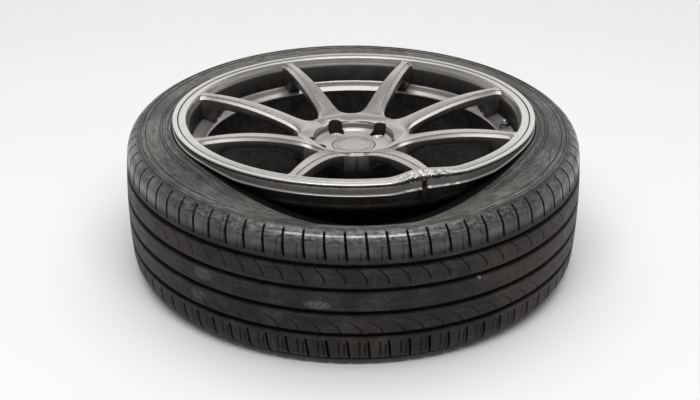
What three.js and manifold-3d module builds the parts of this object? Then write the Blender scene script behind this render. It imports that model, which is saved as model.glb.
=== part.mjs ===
// Road wheel lying flat: an eight-spoke concave alloy casting with a low-profile tyre that has lost its air.
// The upper bead has left its seat along the front, where the rim's lip took a kerb hit.
// Millimetres, +Z up, origin on the ground under the tyre's axis.

import * as THREE from 'three';
import { mergeGeometries, mergeVertices } from 'three/addons/utils/BufferGeometryUtils.js';
import Module from 'manifold-3d';

const wasm = await Module();
wasm.setup();

// Tyre, driving dimensions
const TYRE_RADIUS = 314.5;
const TREAD_MID_HEIGHT = 100;
const CROWN_DROP = 3;
const TREAD_HALF_WIDTH = 69.5;
const GROOVE_OFFSETS = [49, 16.2];
const GROOVE_WIDTH = 7.5;
const GROOVE_FLOOR_WIDTH = 5.5;
const GROOVE_DEPTH = 6;
const SHOULDER_RADIUS = 24;
const SHOULDER_FALL = 19.3;
const SHOULDER_EDGE_RADIUS = TYRE_RADIUS - SHOULDER_FALL;
const SHOULDER_EDGE_OFFSET = 93.1;
const SHOULDER_SLOTS = 75;
const SLOT_SETBACK = 4.5;
const SLOT_WIDTH = 3.4;
const SLOT_DEPTH = 5;
const TREAD_THICKNESS = 15;
const WALL_THICKNESS = 9;
const BEAD_WIDTH = 18;
const BEAD_THICKNESS = 14.5;
const CONTACT_WIDTH = 26;
const CONTACT_INSET = 26.5;
const CONTACT_OUTER_RADIUS = TYRE_RADIUS - CONTACT_INSET;
const CONTACT_INNER_RADIUS = CONTACT_OUTER_RADIUS - CONTACT_WIDTH;
const TYRE_COLUMNS = 48;

// Where the upper bead has come down off its seat
const BEAD_DROP = 48;
const DROP_AZIMUTH = 275;
const DROP_HALF_ARC = 67;

// Rim, driving dimensions
const SEAT_RADIUS = 231;
const FLANGE_HEIGHT = 17;
const LIP_RADIUS = SEAT_RADIUS + FLANGE_HEIGHT;
const BETWEEN_FLANGES = 177.8;
const OUTER_FLANGE = 11.5;
const INNER_FLANGE = 8.5;
const HEEL_RADIUS = 6.5;
const SEAT_LENGTH = 20;
const SEAT_TAPER = THREE.MathUtils.degToRad(5);
const HUMP_HEIGHT = 1.1;
const WELL_DROP = 20;
const WELL_RADIUS = SEAT_RADIUS - WELL_DROP;
const WELL_START = 60;
const WELL_END = 98;
const BARREL_WALL = 6;
const UNDERCUT_DEPTH = 1.4;
const LIP_WIDTH = 8.3;
const FACE_BAND_WIDTH = 8.7;
const FACE_BAND_OUTER = LIP_RADIUS - LIP_WIDTH;
const FACE_BAND_INNER = FACE_BAND_OUTER - FACE_BAND_WIDTH;
const FACE_GROOVE_WIDTH = 1.3;
const FACE_GROOVE_DEPTH = 1.1;
const BAND_ROLL = 5;
const INNER_WALL_RADIUS = FACE_BAND_INNER - BAND_ROLL;
const LEDGE_DEPTH = 37;
const LEDGE_WIDTH_AT_WELL = 14;
const LEDGE_INNER_RADIUS = INNER_WALL_RADIUS - LEDGE_WIDTH_AT_WELL;
const RIM_COLUMNS = 48;

// How the wheel lies in the collapsed tyre
const LIP_HEIGHT = 213.9;
const LEAN_TO_BACK = 3.3;
const LEAN_TO_SIDE = 0.45;
const BEAD_CLEARANCE = 0.8;
const FACE_CLEARANCE = 0.3;

// Kerb damage on the lip
const DENT_START = 284;
const DENT_WORST = 296;
const DENT_END = 318;
const DENT_DEPTH = 8;
const DENT_RISE = 3;
const DENT_STEP = 3;
const CRACK_AZIMUTH = 294.5;
const CRACK_WIDTH = 1.2;
const CRACK_DEPTH = 5;

// Spokes and hub, driving dimensions
const SPOKES = 8;
const FIRST_SPOKE = 25.2;
const TIP_INSET = 4;
const TIP_RADIUS = INNER_WALL_RADIUS - TIP_INSET;
const TIP_DEPTH = 1.3;
const DISH_DEPTH = 12.3;
const DISH_POWER = 2.1;
const WINDOW_END_RADIUS = 77.5;
const WINDOW_END_FLAT = 4;
const WINDOW_CORNER_REACH = 12;
const WAIST_RADIUS = 110;
const WAIST_HALF_WIDTH = 13;
const TIP_HALF_WIDTH = 8.8;
const LEDGE_WIDTH = 5;
const STEP_DEPTH = 2.2;
const LEDGE_DROP = 3;
const SPOKE_DEPTH = 16.5;
const HUB_DEEPENING = 14.5;
const ROOT_FLARE = 3;
const ROOT_REACH = 38;
const TROUGH_DEPTH = 3;
const RECESS_RADIUS = 55;
const RECESS_FLOOR = 48.5;
const PAD_RADIUS = 81;
const PAD_LOBE = 3;
const PAD_TOP = 58;
const PAD_SEAM = 2;
const CORE_INSET = 5;
const MOUNT_FACE = 90;
const HUB_BORE_RADIUS = 28.55;
const BOLTS = 5;
const BOLT_CIRCLE_RADIUS = 50;
const FIRST_BOLT = 47;
const BOLT_HOLE_RADIUS = 7;
const POCKET_RADIUS = 11.4;
const POCKET_DEPTH = 53;
const CONE_DEPTH = 4.5;

// Centre cap
const CAP_SEAT_RADIUS = 27.6;
const CAP_SEAT_DEPTH = 54;
const CAP_THROAT_RADIUS = 25.5;
const CAP_THROAT_END = 66;
const CAP_RADIUS = 27.2;
const CAP_TOP = 48;
const CAP_RING_RADIUS = 22.5;
const CAP_SKIRT_WALL = 1.6;
const CAP_TABS = 6;
const CAP_TAB_GAP = 7;
const CLIP_WIRE_RADIUS = 0.9;

// Valve
const VALVE_AZIMUTH = 11.5;
const VALVE_INSET = 9.5;
const VALVE_RADIUS = INNER_WALL_RADIUS - VALVE_INSET;
const VALVE_SEAT = 40.5;
const VALVE_WALL = 4;
const VALVE_HOLE_RADIUS = 5.75;
const VALVE_SPOT_RADIUS = 8;
const VALVE_LENGTH = 10.5;
const VALVE_THREAD_RADIUS = 2.3;
const VALVE_CAP_RADIUS = 3.3;
const VALVE_CAP_LENGTH = 5;

// Stick-on balance weights inside the barrel
const WEIGHT_THICKNESS = 3.8;
const WEIGHT_TAPE = 1;
const WEIGHT_LENGTH = 13;
const WEIGHT_GAP = 1.5;
const WEIGHT_WIDTH = 16;
const WEIGHT_AZIMUTH = 262;
const OUTER_WEIGHTS = 8;
const INNER_WEIGHTS = 6;

const OVERLAP = 0.5;
const RIM_WIDTH = OUTER_FLANGE + BETWEEN_FLANGES + INNER_FLANGE;
const INNER_FACE = RIM_WIDTH - INNER_FLANGE;
const SPOKE_HALF_ANGLE = Math.PI / SPOKES;
const rad = THREE.MathUtils.degToRad;
const lerp = THREE.MathUtils.lerp;
const clamp = THREE.MathUtils.clamp;

const finishes = {
  alloy: { color: 0x77716f, roughness: 0.42, metalness: 0.85 },
  rubber: { color: 0x2c2c2d, roughness: 0.78, metalness: 0 },
  cap: { color: 0x6a6664, roughness: 0.5, metalness: 0.6 },
  steel: { color: 0x9a9a98, roughness: 0.35, metalness: 1 },
  nickel: { color: 0xb4b2ad, roughness: 0.35, metalness: 0.9 },
  lead: { color: 0x8f9092, roughness: 0.6, metalness: 0.7 },
};

// Solids

function solidOf(geometry) {
  const bare = geometry.clone();
  bare.deleteAttribute('normal');
  bare.deleteAttribute('uv');
  const merged = mergeVertices(bare, 1e-4);
  return new wasm.Manifold(new wasm.Mesh({
    numProp: 3,
    vertProperties: new Float32Array(merged.attributes.position.array),
    triVerts: new Uint32Array(merged.index.array),
  }));
}

function geometryOf(solid) {
  const mesh = solid.getMesh();
  const geometry = new THREE.BufferGeometry();
  geometry.setAttribute('position', new THREE.BufferAttribute(mesh.vertProperties, 3));
  geometry.setIndex(new THREE.BufferAttribute(mesh.triVerts, 1));
  geometry.computeVertexNormals();
  return geometry;
}

function meshOf(name, geometry, finish) {
  const mesh = new THREE.Mesh(geometry, new THREE.MeshStandardMaterial(finishes[finish]));
  mesh.name = name;
  return mesh;
}

// Closed loops of points joined into a skin; a ring joins its last loop to its first, else the ends are capped
function skin(loops, isRing) {
  const size = loops[0].length;
  const points = loops.flat();
  const faces = [];
  const spans = isRing ? loops.length : loops.length - 1;
  for (let i = 0; i < spans; i += 1) {
    const here = i * size;
    const next = ((i + 1) % loops.length) * size;
    for (let j = 0; j < size; j += 1) {
      const k = (j + 1) % size;
      faces.push(here + j, next + j, next + k, here + j, next + k, here + k);
    }
  }
  if (!isRing) {
    const last = (loops.length - 1) * size;
    const firstCentre = points.length;
    points.push(centreOf(loops[0]), centreOf(loops[loops.length - 1]));
    for (let j = 0; j < size; j += 1) {
      const k = (j + 1) % size;
      faces.push(firstCentre, j, k);
      faces.push(firstCentre + 1, last + k, last + j);
    }
  }
  const geometry = new THREE.BufferGeometry().setFromPoints(points);
  geometry.setIndex(faces);
  return geometry;
}

function centreOf(loop) {
  const centre = new THREE.Vector3();
  loop.forEach((point) => centre.add(point));
  return centre.divideScalar(loop.length);
}

function polar(radius, azimuth, height) {
  return new THREE.Vector3(radius * Math.cos(azimuth), radius * Math.sin(azimuth), height);
}

function turned(profile, segments) {
  const points = profile.map(([radius, height]) => new THREE.Vector2(radius, height));
  if (THREE.ShapeUtils.isClockWise(points)) {
    points.reverse();
  }
  return new THREE.LatheGeometry([...points, points[0]], segments).rotateX(Math.PI / 2);
}

function cylinder(radius, top, bottom, sides) {
  const shape = new THREE.CylinderGeometry(radius, radius, top - bottom, sides);
  return shape.rotateX(Math.PI / 2).translate(0, 0, (top + bottom) / 2);
}

// Rim section, in depths below the outer lip

function seatRadius(fromFlange) {
  return SEAT_RADIUS - fromFlange * Math.tan(SEAT_TAPER);
}

// Bead seat with its flange fillet and hump, from the flange face inwards
function seatOutline(flangeDepth, inward) {
  return [
    [SEAT_RADIUS + HEEL_RADIUS, 0],
    [SEAT_RADIUS + 0.3, 0.6 * HEEL_RADIUS],
    [seatRadius(SEAT_LENGTH), SEAT_LENGTH + 4],
    [seatRadius(SEAT_LENGTH) + HUMP_HEIGHT, SEAT_LENGTH + 8],
  ].map(([radius, offset]) => [radius, -(flangeDepth + inward * offset)]);
}

function rimOutline() {
  const barrel = WELL_RADIUS - BARREL_WALL;
  return [
    // Inside of the barrel, from the ground end up to the ledge
    [LIP_RADIUS - 12, -RIM_WIDTH],
    [SEAT_RADIUS - BARREL_WALL + 1, -(INNER_FACE + 0.5)],
    [seatRadius(SEAT_LENGTH) - BARREL_WALL, -(INNER_FACE - 28)],
    [barrel, -WELL_END],
    [barrel, -(LEDGE_DEPTH + BARREL_WALL)],
    [LEDGE_INNER_RADIUS, -(LEDGE_DEPTH + 2.5)],
    [INNER_WALL_RADIUS - 2, -(LEDGE_DEPTH - 0.5)],
    [INNER_WALL_RADIUS, -8.5],
    [INNER_WALL_RADIUS + 1.6, -4.4],
    [FACE_BAND_INNER, -2],
    // Flat band, the groove line round it and the lip
    [FACE_BAND_OUTER, -0.8],
    [FACE_BAND_OUTER + FACE_GROOVE_WIDTH / 2, -0.8 - FACE_GROOVE_DEPTH],
    [FACE_BAND_OUTER + FACE_GROOVE_WIDTH, -0.4],
    [LIP_RADIUS - 0.8, 0],
    // Undercut below the lip, and the side of the flange
    [LIP_RADIUS, -1.2],
    [LIP_RADIUS - UNDERCUT_DEPTH, -2.3],
    [LIP_RADIUS, -3.6],
    [LIP_RADIUS, -OUTER_FLANGE],
    ...seatOutline(OUTER_FLANGE, 1),
    [WELL_RADIUS, -WELL_START],
    [WELL_RADIUS, -WELL_END],
    ...seatOutline(INNER_FACE, -1).reverse(),
    [LIP_RADIUS, -INNER_FACE],
    [LIP_RADIUS, -(RIM_WIDTH - 1.2)],
    [LIP_RADIUS - 1.6, -RIM_WIDTH],
  ].reverse();
}

// Share of the full dent at an azimuth: short on one side of the worst point, long on the other
function dentShare(azimuth) {
  const reach = azimuth < DENT_WORST ? DENT_WORST - DENT_START : DENT_END - DENT_WORST;
  const offset = Math.abs(azimuth - DENT_WORST) / reach;
  return offset < 1 ? Math.cos(offset * Math.PI / 2) ** 2 : 0;
}

// The lip folds inwards and up, and the metal nearer the wheel's axis or the bead seat holds
function dented([radius, height], azimuth) {
  const share = dentShare(azimuth);
  const outward = clamp((radius - FACE_BAND_INNER - 2) / (LIP_RADIUS - FACE_BAND_INNER - 2), 0, 1);
  const upward = clamp(1 + height / (OUTER_FLANGE + 2), 0, 1);
  const weight = share * outward * upward;
  return [radius - DENT_DEPTH * weight, height + DENT_RISE * weight];
}

function rimAzimuths() {
  const azimuths = [];
  const step = 360 / RIM_COLUMNS;
  for (let i = 0; i < RIM_COLUMNS; i += 1) {
    const azimuth = i * step;
    if (azimuth <= DENT_START || azimuth >= DENT_END) {
      azimuths.push(azimuth);
    }
  }
  const dentSteps = Math.floor((DENT_END - DENT_START) / DENT_STEP);
  for (let i = 0; i <= dentSteps; i += 1) {
    const azimuth = lerp(DENT_START, DENT_END, i / dentSteps);
    if (!azimuths.includes(azimuth)) {
      azimuths.push(azimuth);
    }
  }
  return azimuths.sort((a, b) => a - b);
}

function makeRing() {
  const outline = rimOutline();
  const loops = rimAzimuths().map((azimuth) => outline.map((point) => {
    const [radius, height] = dented(point, azimuth);
    return polar(radius, rad(azimuth), height);
  }));
  return skin(loops, true);
}

// Crack that runs up the side of the dented lip
function makeCrack() {
  const wedge = new THREE.Shape();
  wedge.moveTo(LIP_RADIUS + 4, -CRACK_WIDTH);
  wedge.lineTo(LIP_RADIUS + 4, CRACK_WIDTH);
  wedge.lineTo(LIP_RADIUS - DENT_DEPTH - CRACK_DEPTH, 0);
  wedge.closePath();
  const height = OUTER_FLANGE + DENT_RISE + 4;
  const cut = new THREE.ExtrudeGeometry(wedge, { depth: height, bevelEnabled: false });
  return cut.translate(0, 0, -OUTER_FLANGE - 2).rotateZ(rad(CRACK_AZIMUTH));
}

// Spokes

function faceHeight(radius) {
  const run = Math.max(TIP_RADIUS - radius, 0);
  return -TIP_DEPTH - DISH_DEPTH * (run / 100) ** DISH_POWER;
}

function undersideHeight(radius) {
  const nearHub = Math.max(WAIST_RADIUS - radius, 0) / 34;
  const rootStart = INNER_WALL_RADIUS - ROOT_REACH;
  const nearRim = clamp((radius - rootStart) / 20, 0, 1);
  const root = (LEDGE_DEPTH + 5 - SPOKE_DEPTH - TIP_DEPTH) * nearRim ** 2;
  return faceHeight(radius) - SPOKE_DEPTH - HUB_DEEPENING * nearHub ** 1.5 - root;
}

// Edge of the window beside a spoke, as distance along the spoke and half width
function windowEdge() {
  const along = new THREE.Vector2(Math.cos(SPOKE_HALF_ANGLE), Math.sin(SPOKE_HALF_ANGLE));
  const across = new THREE.Vector2(along.y, -along.x);
  const end = along.clone().multiplyScalar(WINDOW_END_RADIUS);
  const start = end.clone().addScaledVector(across, -OVERLAP);
  const corner = end.clone().addScaledVector(across, WINDOW_END_FLAT);
  const cornerPull = corner.clone().addScaledVector(across, WINDOW_CORNER_REACH);
  const taper = (WAIST_HALF_WIDTH - TIP_HALF_WIDTH) / (TIP_RADIUS - WAIST_RADIUS);
  const waistPull = new THREE.Vector2(WAIST_RADIUS - 22, WAIST_HALF_WIDTH + 22 * taper);
  const waist = new THREE.Vector2(WAIST_RADIUS, WAIST_HALF_WIDTH);
  const sweep = new THREE.CubicBezierCurve(corner, cornerPull, waistPull, waist);
  const straight = [0.35, 0.7, 0.88, 1].map((share) => {
    const radius = lerp(WAIST_RADIUS, TIP_RADIUS - 12, share);
    return new THREE.Vector2(radius, WAIST_HALF_WIDTH - (radius - WAIST_RADIUS) * taper);
  });
  return [start, ...sweep.getPoints(6), ...straight];
}

// The same edge moved onto the spoke by the width of its ledge
function faceEdge(edge) {
  return edge.map((point, index) => {
    const before = edge[Math.max(index - 1, 0)];
    const after = edge[Math.min(index + 1, edge.length - 1)];
    const tangent = after.clone().sub(before).normalize();
    const inward = new THREE.Vector2(tangent.y, -tangent.x);
    return point.clone().addScaledVector(inward, LEDGE_WIDTH);
  });
}

function spokeSection(edge, face) {
  const ledgeRadius = edge.length();
  const faceRadius = face.length();
  const top = faceHeight(faceRadius);
  const ledge = faceHeight(ledgeRadius) - STEP_DEPTH - LEDGE_DROP;
  const overPad = edge.x < PAD_RADIUS + PAD_LOBE + 1;
  const bottom = overPad ? -(PAD_TOP + PAD_SEAM) : undersideHeight(ledgeRadius);
  const trough = overPad ? 0 : TROUGH_DEPTH;
  return crossSection([
    [edge.x, edge.y, bottom],
    [edge.x, edge.y, ledge],
    [face.x, face.y, top - STEP_DEPTH],
    [face.x, face.y, top],
  ], [edge.x, 0, bottom + trough]);
}

// A half section mirrored about the spoke's centre line, closed through its underside
function crossSection(half, middle) {
  const right = half.map(([along, across, height]) => new THREE.Vector3(along, -across, height));
  const left = half.map(([along, across, height]) => new THREE.Vector3(along, across, height));
  return [new THREE.Vector3(...middle), ...right, ...left.reverse()];
}

function makeSpoke() {
  const edge = windowEdge();
  const face = faceEdge(edge);
  const inner = RECESS_RADIUS - CORE_INSET - 3;
  const innerHalf = inner * Math.tan(SPOKE_HALF_ANGLE) + OVERLAP;
  const innerTop = faceHeight(inner / Math.cos(SPOKE_HALF_ANGLE));
  const sections = edge.map((point, index) => spokeSection(point, face[index]));
  const hub = crossSection([
    [inner, innerHalf, -(PAD_TOP + PAD_SEAM)],
    [inner, innerHalf, innerTop - STEP_DEPTH - LEDGE_DROP],
    [inner, innerHalf, innerTop - STEP_DEPTH],
    [inner, innerHalf, innerTop],
  ], [inner, 0, -(PAD_TOP + PAD_SEAM)]);
  const tipHalf = TIP_HALF_WIDTH - LEDGE_WIDTH;
  const floor = -LEDGE_DEPTH - 2;
  const root = crossSection([
    [INNER_WALL_RADIUS - 3, TIP_HALF_WIDTH, floor],
    [INNER_WALL_RADIUS - 3, TIP_HALF_WIDTH, -TIP_DEPTH - STEP_DEPTH - LEDGE_DROP],
    [INNER_WALL_RADIUS - 3, tipHalf, -TIP_DEPTH - STEP_DEPTH],
    [INNER_WALL_RADIUS - 3, tipHalf, -TIP_DEPTH],
  ], [INNER_WALL_RADIUS - 3, 0, floor]);
  const end = crossSection([
    [INNER_WALL_RADIUS + 1, TIP_HALF_WIDTH + ROOT_FLARE, floor],
    [INNER_WALL_RADIUS + 4, TIP_HALF_WIDTH + ROOT_FLARE, -TIP_DEPTH - STEP_DEPTH - LEDGE_DROP],
    [FACE_BAND_INNER + 2, tipHalf + ROOT_FLARE, -TIP_DEPTH - STEP_DEPTH],
    [FACE_BAND_INNER + 2, tipHalf + ROOT_FLARE, -TIP_DEPTH - 1.2],
  ], [INNER_WALL_RADIUS + 1, 0, floor]);
  return skin([hub, ...sections, root, end], false);
}

// Mounting pad behind the hub, with a lobe under each spoke
function makePad() {
  const shape = new THREE.Shape();
  const steps = SPOKES * 5;
  for (let i = 0; i < steps; i += 1) {
    const azimuth = i * 2 * Math.PI / steps;
    const radius = PAD_RADIUS + PAD_LOBE * Math.cos(SPOKES * azimuth);
    shape[i === 0 ? 'moveTo' : 'lineTo'](radius * Math.cos(azimuth), radius * Math.sin(azimuth));
  }
  shape.closePath();
  const pad = new THREE.ExtrudeGeometry(shape, { depth: MOUNT_FACE - PAD_TOP, bevelEnabled: false });
  return pad.translate(0, 0, -MOUNT_FACE).rotateZ(rad(FIRST_SPOKE));
}

// Solid middle of the hub, which the recess and the bore are cut into
function makeCore() {
  return cylinder(RECESS_RADIUS - CORE_INSET, -(RECESS_FLOOR - 4), -(PAD_TOP + PAD_SEAM), 40);
}

function makeRecess() {
  return turned([
    [0, -RECESS_FLOOR],
    [RECESS_RADIUS - 4, -RECESS_FLOOR],
    [RECESS_RADIUS - 3, -(RECESS_FLOOR - 1.9)],
    [RECESS_RADIUS - 1, -(RECESS_FLOOR - 3.5)],
    [RECESS_RADIUS, -(RECESS_FLOOR - 10.5)],
    [RECESS_RADIUS, -20],
    [0, -20],
  ], 40);
}

function makeHubBore() {
  return turned([
    [0, -(MOUNT_FACE + 2)],
    [HUB_BORE_RADIUS, -(MOUNT_FACE + 2)],
    [HUB_BORE_RADIUS, -(CAP_THROAT_END + 2)],
    [CAP_THROAT_RADIUS, -CAP_THROAT_END],
    [CAP_THROAT_RADIUS, -CAP_SEAT_DEPTH],
    [CAP_SEAT_RADIUS, -CAP_SEAT_DEPTH],
    [CAP_SEAT_RADIUS, -(RECESS_FLOOR - 2)],
    [0, -(RECESS_FLOOR - 2)],
  ], 24);
}

// Bolt pocket with the cone that the bolt's head seats in
function makePocket() {
  return turned([
    [0, -(MOUNT_FACE + 2)],
    [BOLT_HOLE_RADIUS, -(MOUNT_FACE + 2)],
    [BOLT_HOLE_RADIUS, -(POCKET_DEPTH + CONE_DEPTH)],
    [POCKET_RADIUS, -POCKET_DEPTH],
    [POCKET_RADIUS, -25],
    [0, -25],
  ], 14);
}

function makeValveCut() {
  const spot = cylinder(VALVE_SPOT_RADIUS, -VALVE_SEAT + 14, -VALVE_SEAT, 16);
  const hole = cylinder(VALVE_HOLE_RADIUS, -VALVE_SEAT + 2, -(WELL_START + 2), 16);
  const relief = cylinder(VALVE_SPOT_RADIUS - 0.5, -(VALVE_SEAT + VALVE_WALL), -(WELL_START + 2), 16);
  const cut = solidOf(spot).add(solidOf(hole)).add(solidOf(relief));
  return atValve(geometryOf(cut));
}

function atValve(geometry) {
  return geometry.translate(VALVE_RADIUS, 0, 0).rotateZ(rad(VALVE_AZIMUTH));
}

function around(count, first, make) {
  const copies = [];
  for (let i = 0; i < count; i += 1) {
    copies.push(make().rotateZ(rad(first) + i * 2 * Math.PI / count));
  }
  return copies;
}

function makeWheel() {
  let wheel = solidOf(makeRing()).add(solidOf(makePad())).add(solidOf(makeCore()));
  around(SPOKES, FIRST_SPOKE, makeSpoke).forEach((spoke) => {
    wheel = wheel.add(solidOf(spoke));
  });
  wheel = wheel.subtract(solidOf(makeRecess())).subtract(solidOf(makeHubBore()));
  const pockets = around(BOLTS, FIRST_BOLT, () => makePocket().translate(BOLT_CIRCLE_RADIUS, 0, 0));
  pockets.forEach((pocket) => {
    wheel = wheel.subtract(solidOf(pocket));
  });
  wheel = wheel.subtract(solidOf(makeValveCut())).subtract(solidOf(makeCrack()));
  return geometryOf(wheel);
}

// Centre cap: a dished disc on a skirt that is slit into snap tabs
function makeCap() {
  const skirt = CAP_THROAT_RADIUS - FACE_CLEARANCE - 0.1;
  const seat = CAP_SEAT_DEPTH - FACE_CLEARANCE;
  const hookTop = CAP_THROAT_END + 2.3;
  const body = turned([
    [0, -(CAP_TOP + 3)],
    [skirt - CAP_SKIRT_WALL, -(CAP_TOP + 3)],
    [skirt - CAP_SKIRT_WALL, -(hookTop + 3)],
    [skirt, -(hookTop + 3)],
    [CAP_THROAT_RADIUS + 1.2, -(hookTop + 1)],
    [skirt, -hookTop],
    [skirt, -seat],
    [CAP_RADIUS, -seat],
    [CAP_RADIUS, -(CAP_TOP + 1)],
    [CAP_RADIUS - 1, -CAP_TOP],
    [CAP_RING_RADIUS + 0.6, -CAP_TOP],
    [CAP_RING_RADIUS, -(CAP_TOP + 0.8)],
    [CAP_RING_RADIUS - 0.6, -CAP_TOP],
    [0, -CAP_TOP],
  ], 24);
  let cap = solidOf(body);
  around(CAP_TABS / 2, 0, () => {
    const slit = new THREE.BoxGeometry(2 * CAP_RADIUS + 2, CAP_TAB_GAP, hookTop);
    return slit.translate(0, 0, -seat - 1.5 - hookTop / 2);
  }).forEach((slit) => {
    cap = cap.subtract(solidOf(slit));
  });
  return geometryOf(cap);
}

// Spring wire that keeps the tabs spread
function makeClip() {
  const tabInside = CAP_THROAT_RADIUS - FACE_CLEARANCE - 0.1 - CAP_SKIRT_WALL;
  const ring = tabInside - FACE_CLEARANCE - CLIP_WIRE_RADIUS - 0.1;
  const depth = CAP_THROAT_END + 2;
  return new THREE.TorusGeometry(ring, CLIP_WIRE_RADIUS, 5, 24).translate(0, 0, -depth);
}

// Rubber snap-in valve: bulb behind the rim wall, neck through the hole, collar and stem in front
function makeValveStem() {
  const seat = VALVE_SEAT - FACE_CLEARANCE;
  const behind = VALVE_SEAT + VALVE_WALL + FACE_CLEARANCE;
  const neck = VALVE_HOLE_RADIUS - FACE_CLEARANCE - 0.15;
  return atValve(turned([
    [0, -(behind + 7)],
    [4, -(behind + 7)],
    [VALVE_SPOT_RADIUS - 1.2, -(behind + 1.5)],
    [VALVE_SPOT_RADIUS - 1.2, -behind],
    [neck, -behind],
    [neck, -seat],
    [VALVE_SPOT_RADIUS - 1, -seat],
    [VALVE_SPOT_RADIUS - 1.6, -(seat - 1.6)],
    [neck - 0.6, -(seat - 3)],
    [VALVE_CAP_RADIUS + 0.5, -(seat - VALVE_LENGTH + VALVE_CAP_LENGTH)],
    [VALVE_THREAD_RADIUS, -(seat - VALVE_LENGTH + VALVE_CAP_LENGTH)],
    [VALVE_THREAD_RADIUS, -(seat - VALVE_LENGTH)],
    [0, -(seat - VALVE_LENGTH)],
  ], 12));
}

function makeValveCap() {
  const seat = VALVE_SEAT - FACE_CLEARANCE;
  const skirtEnd = seat - VALVE_LENGTH + VALVE_CAP_LENGTH - 1;
  const bore = VALVE_THREAD_RADIUS + FACE_CLEARANCE + 0.1;
  const stemTop = seat - VALVE_LENGTH - FACE_CLEARANCE;
  return atValve(turned([
    [0, -stemTop],
    [bore, -stemTop],
    [bore, -skirtEnd],
    [VALVE_CAP_RADIUS, -skirtEnd],
    [VALVE_CAP_RADIUS, -(stemTop - 0.4)],
    [VALVE_CAP_RADIUS - 0.6, -(stemTop - 1.1)],
    [0, -(stemTop - 1.1)],
  ], 12));
}

// Strip of stick-on weights: lead blocks on one length of tape
function makeWeights(barrelRadius, top, count) {
  const outer = barrelRadius * Math.cos(Math.PI / RIM_COLUMNS) - FACE_CLEARANCE;
  const tape = outer - WEIGHT_TAPE;
  const face = outer - WEIGHT_THICKNESS;
  const pitch = (WEIGHT_LENGTH + WEIGHT_GAP) / outer;
  const gap = WEIGHT_GAP / outer;
  const outerEdge = [];
  const innerEdge = [];
  for (let i = 0; i < count; i += 1) {
    const start = i * pitch;
    const end = start + pitch - gap;
    outerEdge.push([outer, start], [outer, (start + end) / 2]);
    innerEdge.push([face, start], [face, (start + end) / 2], [face, end]);
    if (i < count - 1) {
      outerEdge.push([outer, end]);
      innerEdge.push([tape, end], [tape, end + gap]);
    } else {
      outerEdge.push([outer, end]);
    }
  }
  const shape = new THREE.Shape([...outerEdge, ...innerEdge.reverse()].map(([radius, azimuth]) => (
    new THREE.Vector2(radius * Math.cos(azimuth), radius * Math.sin(azimuth))
  )));
  const strip = new THREE.ExtrudeGeometry(shape, { depth: WEIGHT_WIDTH, bevelEnabled: false });
  return strip.translate(0, 0, -top - WEIGHT_WIDTH).rotateZ(rad(WEIGHT_AZIMUTH) - count * pitch / 2);
}

// Tyre section, one column of points for each azimuth

const seat = new THREE.Object3D();
seat.position.set(0, 0, LIP_HEIGHT);
seat.rotation.set(rad(-LEAN_TO_BACK), rad(-LEAN_TO_SIDE), 0);
seat.updateMatrix();

// Point of a circle on the leaning rim that lies in the tyre's half plane at an azimuth
function onRim(azimuth, radius, height) {
  let angle = azimuth;
  let point = polar(radius, angle, height).applyMatrix4(seat.matrix);
  for (let pass = 0; pass < 3; pass += 1) {
    const error = azimuth - Math.atan2(point.y, point.x);
    angle += Math.atan2(Math.sin(error), Math.cos(error));
    point = polar(radius, angle, height).applyMatrix4(seat.matrix);
  }
  return new THREE.Vector2(Math.hypot(point.x, point.y), point.z);
}

function beadDrop(azimuth) {
  const degrees = THREE.MathUtils.radToDeg(azimuth);
  const offset = Math.abs(((degrees - DROP_AZIMUTH + 540) % 360) - 180);
  return offset < DROP_HALF_ARC ? BEAD_DROP * Math.cos((offset / DROP_HALF_ARC) * Math.PI / 2) ** 2 : 0;
}

function treadRadius(offset) {
  return TYRE_RADIUS - CROWN_DROP * (offset / TREAD_HALF_WIDTH) ** 2;
}

// Ribs and the four grooves between them, from the lower edge to the upper one
function treadOutline() {
  const half = GROOVE_WIDTH / 2;
  const floor = GROOVE_FLOOR_WIDTH / 2;
  const centres = [-GROOVE_OFFSETS[0], -GROOVE_OFFSETS[1], GROOVE_OFFSETS[1], GROOVE_OFFSETS[0]];
  const points = centres.flatMap((centre) => [
    [treadRadius(centre - half), centre - half],
    [treadRadius(centre) - GROOVE_DEPTH, centre - floor],
    [treadRadius(centre) - GROOVE_DEPTH, centre + floor],
    [treadRadius(centre + half), centre + half],
  ]);
  return points.map(([radius, offset]) => new THREE.Vector2(radius, TREAD_MID_HEIGHT + offset));
}

// Shoulder from the edge of the tread round to the sidewall, above or below the tread's middle
function shoulderOutline(side) {
  const edge = new THREE.Vector2(treadRadius(TREAD_HALF_WIDTH), TREAD_HALF_WIDTH);
  const end = new THREE.Vector2(SHOULDER_EDGE_RADIUS, SHOULDER_EDGE_OFFSET);
  const pull = new THREE.Vector2(edge.x - 1.5, edge.y + SHOULDER_RADIUS * 0.62);
  const endPull = new THREE.Vector2(end.x + SHOULDER_RADIUS * 0.36, end.y - SHOULDER_RADIUS * 0.19);
  const curve = new THREE.CubicBezierCurve(edge, pull, endPull, end);
  return curve.getPoints(3).map((point) => (
    new THREE.Vector2(point.x, TREAD_MID_HEIGHT + side * point.y)
  ));
}

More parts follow.
